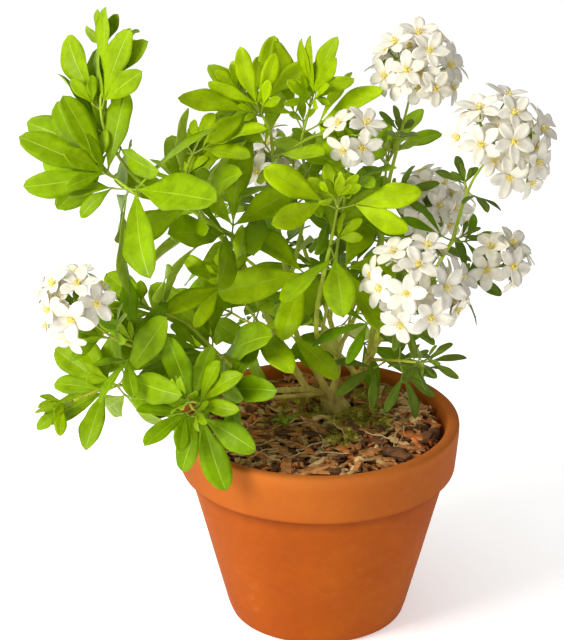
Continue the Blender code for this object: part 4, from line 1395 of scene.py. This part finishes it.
def bark_tube(path, radii, name, sides=BARK_SIDES, foot_swell=0.35):
    """A limb with a swollen foot, leaf scars in pairs and an uneven skin."""
    dice = random.Random(name)
    length = sum((q - p).length for p, q in zip(path, path[1:]))
    fine = smooth(path, None, BARK_STEP)
    count = len(fine)
    points = []
    phase = dice.uniform(0, NODE_EVERY)
    for k, (centre, (up, side)) in enumerate(zip(fine, frames(fine, TUBE_TOP))):
        share = k / (count - 1)
        place = share * length
        at = share * (len(radii) - 1)
        low = min(int(at), len(radii) - 2)
        radius = radii[low] + (radii[low + 1] - radii[low]) * (at - low)
        radius *= 1 + foot_swell * math.exp(-place / FOOT_FADE)
        off = (place + phase) % NODE_EVERY - NODE_EVERY / 2
        radius *= 1 + SCAR_RISE * math.exp(-((off / SCAR) ** 2))
        for n in range(sides):
            way = spoke(up, side, math.tau * n / sides)
            skin = centre + way * radius
            rough = sum(noise.noise(skin * grain) * height for grain, height in BARK_GRAINS)
            points.append(centre + way * radius * (1 + rough))
    return points, tube_faces(count, sides)


def dress_limbs(limbs):
    """Each limb's bark, starting inside what carries it."""
    for name, (path, radii) in limbs.items():
        limb = LIMBS[name]
        if limb.parent == "trunk":
            inside = path[0] - Vector((0, 0, ROOTED))
        else:
            inside = along(limbs[limb.parent][0], limb.at)[0]
        piece = Build("bark_" + name, ["stem"])
        piece.add(*bark_tube([inside, *path], [radii[0], *radii], name), "stem")
        obj = piece.make()
        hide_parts(name)


def evaluated(obj):
    """The object's mesh with its modifiers applied."""
    bpy.context.view_layer.update()
    graph = bpy.context.evaluated_depsgraph_get()
    mesh = bpy.data.meshes.new_from_object(obj.evaluated_get(graph))
    mesh.name = obj.name
    return mesh


def dress_trunk(limbs):
    """The short trunk with its flare, and where the four main boughs part, as one skin."""
    piece = Build("bark_trunk", ["stem"])
    top = trunk_top()
    low = TRUNK_FOOT - Vector((0, 0, 0.5 * MM))
    path = [low, TRUNK_FOOT.lerp(top, 0.25), TRUNK_FOOT.lerp(top, 0.6), top - Vector((0, 0, 1.5 * MM))]
    thick = [1.05 * TRUNK_FLARE, 0.86 * TRUNK_FLARE, 0.92 * TRUNK_NECK, 0.72 * TRUNK_NECK]
    piece.add(*tube(path, thick, TRUNK_SIDES), "stem")
    for name, (limb_path, radii) in limbs.items():
        if LIMBS[name].parent != "trunk":
            continue
        start = limb_path[0]
        foot = TRUNK_FOOT + (start - TRUNK_FOOT) * 0.35 + UP * MM
        out = Vector((start.x - top.x, start.y - top.y, 0))
        root = foot + out * 0.9 - Vector((0, 0, 4.5 * MM))
        inside = start - Vector((0, 0, ROOTED))
        fork = [1.5 * radii[0], 1.3 * radii[0], 1.02 * radii[1]]
        piece.add(*tube([foot, start, limb_path[1]], fork, FORK_SIDES), "stem")
        piece.add(*tube([inside, root], [1.4 * radii[0], 1.5 * radii[0]], FORK_SIDES), "stem")
    obj = piece.make()
    remesh = obj.modifiers.new("Skin", "REMESH")
    remesh.mode = "VOXEL"
    remesh.voxel_size = TRUNK_VOXEL
    remesh.use_smooth_shade = True
    relax = obj.modifiers.new("Relax", "SMOOTH")
    relax.iterations = 3
    skin = evaluated(obj)
    for vertex in skin.vertices:
        p = vertex.co
        ridge = noise.noise(Vector([c * grain for c, grain in zip(p, RIDGE_GRAIN)]))
        away = Vector((p.x - top.x, p.y - top.y, 0))
        if away.length > 1e-6 and p.z > TRUNK_FOOT.z:
            vertex.co = p + away.normalized() * (TRUNK_RIDGE * ridge)
    obj.modifiers.clear()
    obj.data = skin
    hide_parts("trunk")


def twig_pieces(name, mass, stem, stalks, limbs, twigs):
    """The mass's stem, from inside its limb to its tip, and its leaf stalks."""
    path, radii = limbs[mass.limb]
    if mass.at >= 1:
        inside, foot = path[-1] - along(path, 1.0)[1] * MM, radii[-1]
    else:
        inside, foot = along(path, mass.at)[0], SIDE_STEM
    path, radii = [inside, *stem.path], [foot, *stem.radius]
    twigs.add(*bark_tube(path, radii, name, TWIG_BARK_SIDES, TWIG_SWELL), "stem")
    for stalk in stalks:
        start, end = stalk.path[0], stalk.path[-1]
        sag = Vector((0, 0, -0.07 * (end - start).length))
        curve = curve_between(start, (start + end) / 2 + sag, end, 5)
        twigs.add(*tube(curve, LEAF_STALK, 6), "leaf_stalk")


def tint_for(name, rise, dice):
    """A leaf's tint: its mass's own mix, younger towards the stem's tip."""
    mix = SPRAY_TINTS.get(name, DARK if MASSES[name].flowers else MIXED)
    place = (1 - rise) * (len(mix) - 1) + dice.uniform(-1.1, 1.1)
    return mix[max(0, min(len(mix) - 1, round(place)))]


def add_leaflet(leaf, tint, foliage, dice):
    """A leaflet in its tint, with the underside and the midrib that go with it."""
    points, faces, kinds = fine_leaflet(leaf, dice)
    age = "dark" if tint in DARK_TINTS else "young"
    rib = "midrib_" + age
    finish = {"top": tint, "under": "leaf_underside_" + age, "rib": rib, "rib_under": rib}
    foliage.add(points, faces, [finish[kind] for kind in kinds])


def shoots(name, mass, stem, space):
    """Small young shoots in the leaf axils and at the stem's tip, where there is room for them."""
    dice = random.Random(SHOOT_SEED + mass.seed)
    young = mass._replace(stalk=SHOOT_STALK, slim=min(0.42, mass.slim + 0.06))
    stalks, leaflets = [], []
    for k, share in enumerate((*mass.nodes[-2:], 1.0)):
        node, tangent = along(stem.path, share)
        tip = share == 1.0
        for half in range(3 if tip else 1):
            around = mass.roll + 90 * k + 180 * half + (45 if tip else 22) + dice.uniform(-20, 20)
            way = leaf_way(tangent, around, dice.uniform(15, 34) if tip else 42)
            size = mass.leaf * MM * dice.uniform(0.26, 0.44)
            made = place_leaf(node, way, size, SHOOT_FAN, young, name, space, dice)
            stalks += made[0]
            leaflets += made[1]
    return stalks, leaflets


def more_flowers(mass, stem, name, space):
    """Flowers of the second row, between those that the rule's own round made."""
    dice = random.Random(SECOND_ROW_SEED + mass.seed)
    tip, axis, up, side = head_frame(stem)
    dome = mass.dome * MM
    centre = tip + axis * (HEAD_RISE * dome)
    made = []
    for _ in range(FLOWER_TRIES):
        way = dome_way(axis, up, side, dice.uniform(-0.25, 1.0), dice.uniform(0, math.tau))
        look = look_out(way, tip, 0.4, 0.3, dice)
        place = centre + way * dome * dice.uniform(0.6, 1.1)
        root = centre + way * (0.2 * dome)
        flower = Flower(place, look, FLOWER_RADIUS * dice.uniform(0.8, 1.0), dice.uniform(0, 6.28), root)
        heart = flower._replace(radius=0.72 * flower.radius)
        whole = coarse_flower(flower)
        if space.free(star_only(heart), name, OWN_WOOD) and space.free(whole, name, OWN):
            space.add(coarse_flower(heart), name, "flower")
            made.append(flower)
            if len(made) >= mass.flowers:
                break
    return made


def add_buds(name, mass, stem, space, greens, petals, dice):
    """Closed buds between the open flowers, inside the head's reach."""
    tip, axis, up, side = head_frame(stem)
    dome = mass.dome * MM
    centre = tip + axis * HEAD_RISE * dome
    made = 0
    for _ in range(BUD_TRIES):
        way = dome_way(axis, up, side, dice.uniform(-0.1, 1.0), dice.uniform(0, math.tau))
        root = centre + way * dome * 0.25
        end = centre + way * dome * dice.uniform(0.75, 1.0)
        room = tube([root.lerp(end, 0.3), end + way * 7 * MM], BUD_ROOM, 6)
        if space.free(room, name, OWN_WOOD):
            space.add(tube([root, end + way * 6 * MM], BUD_BODY, 6), name, "bud")
            add_bud(root, end, greens, petals, dice)
            made += 1
            if made >= max(3, mass.flowers // 3):
                return


def dress_mass(name, limbs, plant, space):
    """A mass's leaves, twigs and flowers in full, with shoots and buds added."""
    mass = MASSES[name]
    stem, stalks, leaflets, flowers = plant[name]
    dice = random.Random(DRESS_SEED + mass.seed)
    more_stalks, more_leaflets = shoots(name, mass, stem, space)
    foliage = Build("foliage_" + name, LEAF_FINISHES)
    twigs = Build("twigs_" + name, ["stem", "leaf_stalk", "calyx"])
    petals = Build("petals_" + name, ["petal", "petal_underside"])
    hearts = Build("stamens_" + name, ["flower_heart", "anther", "filament"])
    twig_pieces(name, mass, stem, stalks + more_stalks, limbs, twigs)
    if flowers:
        flowers = flowers + more_flowers(mass, stem, name, space)
    tip = stem.path[-1]
    reach = max((tip - stem.path[0]).length, 1e-6)
    tints, last = [], None
    for leaf in leaflets:
        if last is None or (leaf.root - last).length > SAME_LEAF:
            rise = 1 - min(1.0, (leaf.root - tip).length / reach)
            held = tint_for(name, rise, dice)
        tints.append(held)
        last = leaf.root
    for leaf, tint in zip(leaflets, tints):
        add_leaflet(leaf, tint, foliage, dice)
    young = [tint_for(name, 1.0, dice) for _ in more_leaflets]
    for leaf, tint in zip(more_leaflets, young):
        add_leaflet(leaf, tint, foliage, dice)
    for flower in flowers:
        add_flower(flower, petals, hearts, twigs, dice)
    if flowers:
        add_buds(name, mass, stem, space, twigs, petals, dice)
    slots = ((foliage, "foliage"), (twigs, "stem"), (petals, "blossom_spray"), (hearts, "blossom_spray"))
    for piece, slot in slots:
        obj = piece.make()
        if obj:
            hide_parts(name)


def polar(radius, angle):
    return radius * math.cos(angle), radius * math.sin(angle)


def fine_revolve(profile, sides):
    """A closed solid round the Z axis, from (radius, height) pairs that start and end on it."""
    points = [Vector((0, 0, profile[0][1]))]
    for radius, height in profile[1:-1]:
        points += [Vector((*polar(radius, math.tau * n / sides), height)) for n in range(sides)]
    points.append(Vector((0, 0, profile[-1][1])))
    return points, capped_faces(len(profile) - 2, sides)


def rounded(corners, radius, steps=5):
    """A profile with its inner corners rounded, each by the radius given with it or the common one."""
    made = [corners[0][:2]]
    for before, corner, after in zip(corners, corners[1:], corners[2:]):
        bend = corner[2] if len(corner) > 2 else radius
        a, b, c = (Vector(p[:2]) for p in (before, corner, after))
        back, on = (a - b), (c - b)
        cut = min(bend, 0.45 * back.length, 0.45 * on.length)
        p, q = b + back.normalized() * cut, b + on.normalized() * cut
        for k in range(steps + 1):
            t = k / steps
            made.append(tuple(p.lerp(b, t).lerp(b.lerp(q, t), t)))
    made.append(corners[-1][:2])
    return made


def stretch_out(profile, step):
    """The same profile with long runs cut up, so that its relief has points to move."""
    made = [profile[0]]
    for a, b in zip(profile, profile[1:]):
        count = max(1, math.ceil(math.hypot(b[0] - a[0], b[1] - a[1]) / step))
        for k in range(1, count + 1):
            made.append((a[0] + (b[0] - a[0]) * k / count, a[1] + (b[1] - a[1]) * k / count))
    return made


def dress_pot():
    """The pot with soft edges, its drain holes and a slightly uneven wall."""
    neck = POT_HEIGHT - RIM_BAND
    corners = [
        (0, 0.0008),
        (FOOT_RADIUS - 0.010, 0.0008, 0.001),
        (FOOT_RADIUS - 0.008, 0, 0.001),
        (FOOT_RADIUS - 0.001, 0, 0.004),
        (FOOT_RADIUS + 0.002, 0.008, 0.003),
        (NECK_RADIUS, neck - 0.0004, 0.0015),
        (RIM_LOW_RADIUS - 0.0002, neck, 0.0016),
        (RIM_RADIUS - 0.0006, POT_HEIGHT - 0.008, 0.004),
        (RIM_RADIUS - 0.0004, POT_HEIGHT, 0.0042),
        (RIM_RADIUS - RIM_WALL + 0.0006, POT_HEIGHT, 0.0035),
        (inner_radius(neck), neck, 0.002),
        (inner_radius(FLOOR_THICKNESS), FLOOR_THICKNESS, 0.003),
        (0, FLOOR_THICKNESS),
    ]
    piece = Build("pot_clay", ["clay"])
    piece.add(*fine_revolve(stretch_out(rounded(corners, 0.002), POT_STEP), POT_FINE_SIDES), "clay")
    pot = piece.make()
    cutters = []
    for n in range(DRAIN_HOLES):
        centre = Vector((*polar(DRAIN_CIRCLE, math.tau * (n + 0.5) / DRAIN_HOLES), 0))
        cutter = Build(f"hole_{n}", ["clay"])
        ends = [centre - Vector((0, 0, 0.01)), centre + Vector((0, 0, FLOOR_THICKNESS + 0.01))]
        cutter.add(*tube(ends, [DRAIN_RADIUS] * 2, HOLE_SIDES), "clay")
        cutters.append(cutter.make())
        cut = pot.modifiers.new(f"Drain hole {n}", "BOOLEAN")
        cut.operation = "DIFFERENCE"
        cut.object = cutters[-1]
    shape = evaluated(pot)
    pot.modifiers.clear()
    pot.data = shape
    for cutter in cutters:
        bpy.data.objects.remove(cutter)
    for vertex in shape.vertices:
        p = vertex.co
        radial = Vector((p.x, p.y, 0))
        if radial.length > FOOT_RADIUS - 0.012 and p.z > 0.004:
            uneven = sum(height * noise.noise(p * grain) for height, grain in POT_RELIEF)
            vertex.co = p + radial.normalized() * uneven
    shape.polygons.foreach_set("use_smooth", [True] * len(shape.polygons))
    shape.set_sharp_from_angle(angle=math.radians(50))
    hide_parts("pot")


class Ground:
    """Heights over the soil, which rise as bark is dropped on it."""

    def __init__(self):
        self.reach = inner_radius(SOIL_SURFACE) - 1.2 * MM
        self.heights = {}

    def bare(self, x, y):
        """The soil's own height: flat in the middle, falling to the wall."""
        radius = math.hypot(x, y)
        edge = inner_radius(SOIL_SURFACE) - 2 * GAP
        if radius < SOIL_FLAT:
            return SOIL_SURFACE + SOIL_MOUND
        share = min(1.0, (radius - SOIL_FLAT) / (edge - SOIL_EDGE - SOIL_FLAT))
        if share < 1:
            return SOIL_SURFACE + SOIL_MOUND * (1 - 0.3 * share)
        return SOIL_SURFACE + 0.7 * SOIL_MOUND * max(0.0, (edge - radius) / SOIL_EDGE)

    def height(self, x, y):
        key = (round(x / CHIP_CELL), round(y / CHIP_CELL))
        return max(self.heights.get(key, 0.0), self.bare(x, y))

    def raise_to(self, x, y, z):
        key = (round(x / CHIP_CELL), round(y / CHIP_CELL))
        self.heights[key] = max(self.heights.get(key, 0.0), z)


def chip_shell(centre, angle, length, width, thick, slope, dice):
    """A splinter of bark: a grooved slab with ragged ends, lying on a slope."""
    ahead = Vector((math.cos(angle), math.sin(angle), slope[0])).normalized()
    beside = Vector((-math.sin(angle), math.cos(angle), slope[1]))
    beside = (beside - ahead * beside.dot(ahead)).normalized()
    up = ahead.cross(beside)
    bow = dice.uniform(*CHIP_BOW) * length
    seed = drawn(0, 50, dice)
    ragged = [[dice.uniform(-CHIP_RAG, CHIP_RAG) for _ in range(CHIP_COLUMNS + 1)] for _ in range(2)]
    nibbled = [[dice.uniform(*CHIP_NIBBLE) for _ in range(CHIP_ROWS + 1)] for _ in range(2)]
    points = []
    for face in (1, -1):
        for row in range(CHIP_ROWS + 1):
            t = 2 * row / CHIP_ROWS - 1
            for column in range(CHIP_COLUMNS + 1):
                s = 2 * column / CHIP_COLUMNS - 1
                forward = t * length / 2
                if row in (0, CHIP_ROWS):
                    forward += ragged[row > 0][column] * length * 0.8
                sideways = s * nibbled[s > 0][row] * width / 2
                groove = 0.30 * noise.noise(seed + Vector((t * 1.5, s * 4, 0)))
                edge = 1 - 0.45 * abs(s) ** 6 - 0.25 * abs(t) ** 6
                lift = face * thick / 2 * edge * (1 + (1.6 * groove if face > 0 else 0))
                lift += bow * (1 - t * t) - 0.08 * width * s * s
                points.append(centre + ahead * forward + beside * sideways + up * lift)
    return points, slab_faces(CHIP_ROWS, CHIP_COLUMNS + 1, FORWARDS_FROM_NEXT)


def lay(ground, x, y, angle, length, width, thick):
    """Where a slab would come to lie: its height, slope and the cells under it."""
    cells = []
    for i in range(-4, 5):
        for j in range(-1, 2):
            u, v = i / 4 * length / 2, j * width / 2.2
            px = x + u * math.cos(angle) - v * math.sin(angle)
            py = y + u * math.sin(angle) + v * math.cos(angle)
            if math.hypot(px, py) > ground.reach:
                return None
            if math.hypot(px - TRUNK_FOOT.x, py - TRUNK_FOOT.y) < TRUNK_FLARE + 0.5 * MM:
                return None
            cells.append((u, v, ground.height(px, py), px, py))
    mean = sum(c[2] for c in cells) / len(cells)
    slope = []
    for k in range(2):
        tilt = sum(c[k] * (c[2] - mean) for c in cells) / max(sum(c[k] ** 2 for c in cells), 1e-12)
        slope.append(max(-STEEPEST, min(STEEPEST, tilt)))
    rest = max(c[2] - slope[0] * c[0] - slope[1] * c[1] for c in cells)
    rest = 0.45 * rest + 0.55 * mean
    return rest + thick / 2, slope, cells


def moss_at(x, y):
    """Whether a place is under moss."""
    return any(math.hypot(x - mx * MM, y - my * MM) < r * MM for mx, my, r in MOSS_PATCHES)


def dress_soil():
    """Bark chips over the soil, with moss round the stems, straws, fallen leaves and a seedling."""
    soil = frame["nodes"]["soil"]
    soil.data.materials.clear()
    soil.data.materials.append(FINISHES["compost"])
    dice = random.Random(SOIL_SEED)
    ground = Ground()
    chips = Build("bark_chips", list(CHIP_TINTS))
    for n in range(CHIPS):
        long = CHIPS * 0.3 < n < CHIPS * 0.8
        best = None
        length = dice.choice(LONG_CHIPS if long else SHORT_CHIPS) * MM * dice.uniform(*CHIP_LENGTHS)
        width = min(length * dice.uniform(*CHIP_SLIM), dice.uniform(*CHIP_WIDEST) * MM)
        thick = dice.uniform(*CHIP_THICK) * MM
        for _ in range(CHIP_TRIES):
            radius = ground.reach * math.sqrt(dice.random())
            x, y = polar(radius, dice.uniform(0, math.tau))
            angle = dice.uniform(0, math.pi)
            if n > CHIPS * 0.35 and moss_at(x, y) and dice.random() < 0.93:
                continue
            found = lay(ground, x, y, angle, length, width, thick)
            if found and (best is None or found[0] < best[0][0]):
                best = (found, x, y, angle)
        if best is None or best[0][0] > POT_HEIGHT - LEAST_DEPTH:
            continue
        (height, slope, cells), x, y, angle = best
        tipped = (slope[0] + dice.uniform(-0.25, 0.25), slope[1] + dice.uniform(-0.5, 0.5))
        shell = chip_shell(Vector((x, y, height)), angle, length, width, thick, tipped, dice)
        chips.add(*shell, dice.choice(CHIP_MIX))
        for u, v, _, px, py in cells:
            ground.raise_to(px, py, height + thick / 2 + slope[0] * u + slope[1] * v)
    bark = chips.make(smooth_shade=False)
    add_moss(ground, dice)
    add_straws(ground, dice)
    add_fallen_leaves(ground, dice)
    add_seedling(ground, dice)


def add_moss(ground, dice):
    """Low cushions of moss with fine shoots standing out of them."""
    moss = Build("moss", ["moss", "moss_pale"])
    for mx, my, reach in MOSS_PATCHES:
        for _ in range(int(reach * reach * MOSS_DENSITY)):
            dx, dy = polar(reach * MM * math.sqrt(dice.random()), dice.uniform(0, math.tau))
            x, y = mx * MM + dx, my * MM + dy
            if math.hypot(x - TRUNK_FOOT.x, y - TRUNK_FOOT.y) < TRUNK_FLARE - 1 * MM:
                continue
            base = Vector((x, y, ground.height(x, y) - 1.2 * MM))
            size = dice.uniform(*MOSS_CUSHIONS) * MM
            finish = dice.choice(("moss", "moss", "moss_pale"))
            moss.add(*blob(base, UP, size, size * 1.5, 4, 6, 0.7), finish)
            for _ in range(MOSS_SHOOTS):
                way = Vector((dice.uniform(-1, 1), dice.uniform(-1, 1), dice.uniform(0.1, 1.1))).normalized()
                start = base + Vector((0, 0, 0.35 * size)) + way * size * 0.25
                end = start + way * dice.uniform(*MOSS_REACHES) * MM
                middle = (start + end) / 2 + Vector((0, 0, 0.2 * MM))
                moss.add(*tube([start, middle, end], MOSS_SHOOT, 3), finish)
    moss.make()


def lie_along(ground, points, radius):
    """A path that rests on the ground below the points, without its sharpest dips."""
    line = smooth([Vector((x * MM, y * MM, 0)) for x, y in points], None, 2 * MM)
    heights = [ground.height(p.x, p.y) + radius for p in line]
    for _ in range(3):
        heights = [
            max(h, (heights[max(k - 1, 0)] + heights[min(k + 1, len(heights) - 1)]) / 2 - 0.1 * MM)
            for k, h in enumerate(heights)
        ]
    return [Vector((p.x, p.y, h)) for p, h in zip(line, heights)]


def add_straws(ground, dice):
    """Dry straws on the bark, clear of the wall and of the trunk."""
    straws = Build("straws", ["straw"])
    runs = [*FIRST_STRAWS]
    while len(runs) < STRAWS:
        radius = 0.9 * ground.reach / MM * math.sqrt(dice.random())
        x, y = polar(radius, dice.uniform(0, math.tau))
        angle, length = dice.uniform(0, math.tau), dice.uniform(*STRAW_LENGTHS)
        dx, dy = polar(length, angle)
        bend = dice.uniform(-0.2, 0.2)
        run = [(x - dx, y - dy), (x - bend * dy, y + bend * dx), (x + dx, y + dy)]
        from_trunk = [math.hypot(px - TRUNK_FOOT.x / MM, py - TRUNK_FOOT.y / MM) for px, py in run]
        if all(math.hypot(*p) < ground.reach / MM - 2 for p in run) and min(from_trunk) > STRAW_CLEARANCE:
            runs.append(run)
    for run in runs:
        radius = dice.uniform(*STRAW_RADII) * MM
        line = lie_along(ground, run, radius)
        straws.add(*tube(line, taper(len(line), radius, 0.6 * radius), 5), "straw")
    straws.make()


def add_fallen_leaves(ground, dice):
    """Fallen brown leaves on the bark."""
    fallen = Build("fallen_leaf", ["dry_leaf"])
    for x, y, turn, length in FALLEN_LEAVES:
        x, y, length = x * MM, y * MM, length * MM
        direction = Vector((*polar(1, math.radians(turn)), 0.12)).normalized()
        root = Vector((x, y, ground.height(x, y) + 2.2 * MM))
        leaf = Leaflet(root, direction, across(direction), length, 0.42 * length, 0.28)
        points, faces, _ = fine_leaflet(leaf, dice)
        fallen.add(points, faces, "dry_leaf")
    fallen.make()


def add_seedling(ground, dice):
    """A seedling with four small leaves."""
    seedling = Build("seedling", ["green", "leaf_underside_young", "midrib_young", "leaf_stalk"])
    x, y = (place * MM for place in SEEDLING_PLACE)
    foot = Vector((x, y, ground.height(x, y) - MM))
    crown = foot + Vector((0, 0, 5.5 * MM))
    seedling.add(*tube([foot, crown], [0.6 * MM, 0.5 * MM], 5), "leaf_stalk")
    for turn in SEEDLING_TURNS:
        direction = Vector((*polar(1, math.radians(turn)), 0.35)).normalized()
        leaf = Leaflet(crown, direction, across(direction), dice.uniform(7, 10) * MM, 4.2 * MM, 0.15)
        add_leaflet(leaf, "green", seedling, dice)
    seedling.make()


def add_camera():
    data = bpy.data.cameras.new("camera")
    data.sensor_fit = "VERTICAL"
    data.sensor_height = SENSOR
    data.lens = FOCAL_PIXELS * SENSOR / PICTURE_HEIGHT
    camera = bpy.data.objects.new("camera", data)
    camera.location = CAMERA_PLACE
    camera.rotation_euler = (math.radians(90 - CAMERA_DOWN), 0, math.radians(CAMERA_TURN))
    bpy.context.scene.collection.objects.link(camera)
    bpy.context.scene.camera = camera


def add_area(name, place, aim, size, power, colour):
    data = bpy.data.lights.new(name, "AREA")
    data.size, data.energy, data.color = size, power, colour
    lamp = bpy.data.objects.new(name, data)
    lamp.location = place
    lamp.rotation_euler = (Vector(aim) - Vector(place)).to_track_quat("-Z", "Y").to_euler()
    bpy.context.scene.collection.objects.link(lamp)


def add_stage():
    """A white studio that dims upwards and to the right, two lamps and a faintly glowing floor."""
    scene = bpy.context.scene
    scene.view_settings.view_transform = "Standard"
    world = bpy.data.worlds.new("studio")
    world.use_nodes = True
    tree = world.node_tree
    sky = tree.nodes["Background"]
    height = place_part(tree, "Generated", "Z")
    glow = ramp(tree, height, [(0.0, (0.86, 0.86, 0.86)), (0.22, (WORLD_LIGHT,) * 3)])
    right = remapped(tree, place_part(tree, "Generated", "X"), -0.2, 0.9)
    dim = ramp(tree, right, [(0.0, WHITE), (1.0, (0.58, 0.58, 0.60))])
    tree.links.new(blend_colours(tree, glow, dim, 1.0, "MULTIPLY"), sky.inputs["Color"])
    sky.inputs["Strength"].default_value = 1.0
    scene.world = world
    add_area("key", *KEY_LAMP)
    add_area("top", *TOP_LAMP)
    mesh = bpy.data.meshes.new("floor")
    corners = [(x * FLOOR_HALF, y * FLOOR_HALF, 0) for x, y in ((-1, -1), (1, -1), (1, 1), (-1, 1))]
    mesh.from_pydata(corners, [], [(0, 1, 2, 3)])
    made, tree = new_finish("floor", (0.95, 0.95, 0.95), 0.9)
    inputs = tree.nodes[SHADER].inputs
    inputs["Emission Color"].default_value = (*WHITE, 1)
    inputs["Emission Strength"].default_value = FLOOR_GLOW
    mesh.materials.append(made)
    floor = bpy.data.objects.new("floor", mesh)
    scene.collection.objects.link(floor)


limbs, plant, space = grow()
FINISHES = make_finishes()
dress_pot()
dress_soil()
dress_trunk(limbs)
dress_limbs(limbs)
for mass_name in MASSES:
    dress_mass(mass_name, limbs, plant, space)
add_stage()
add_camera()
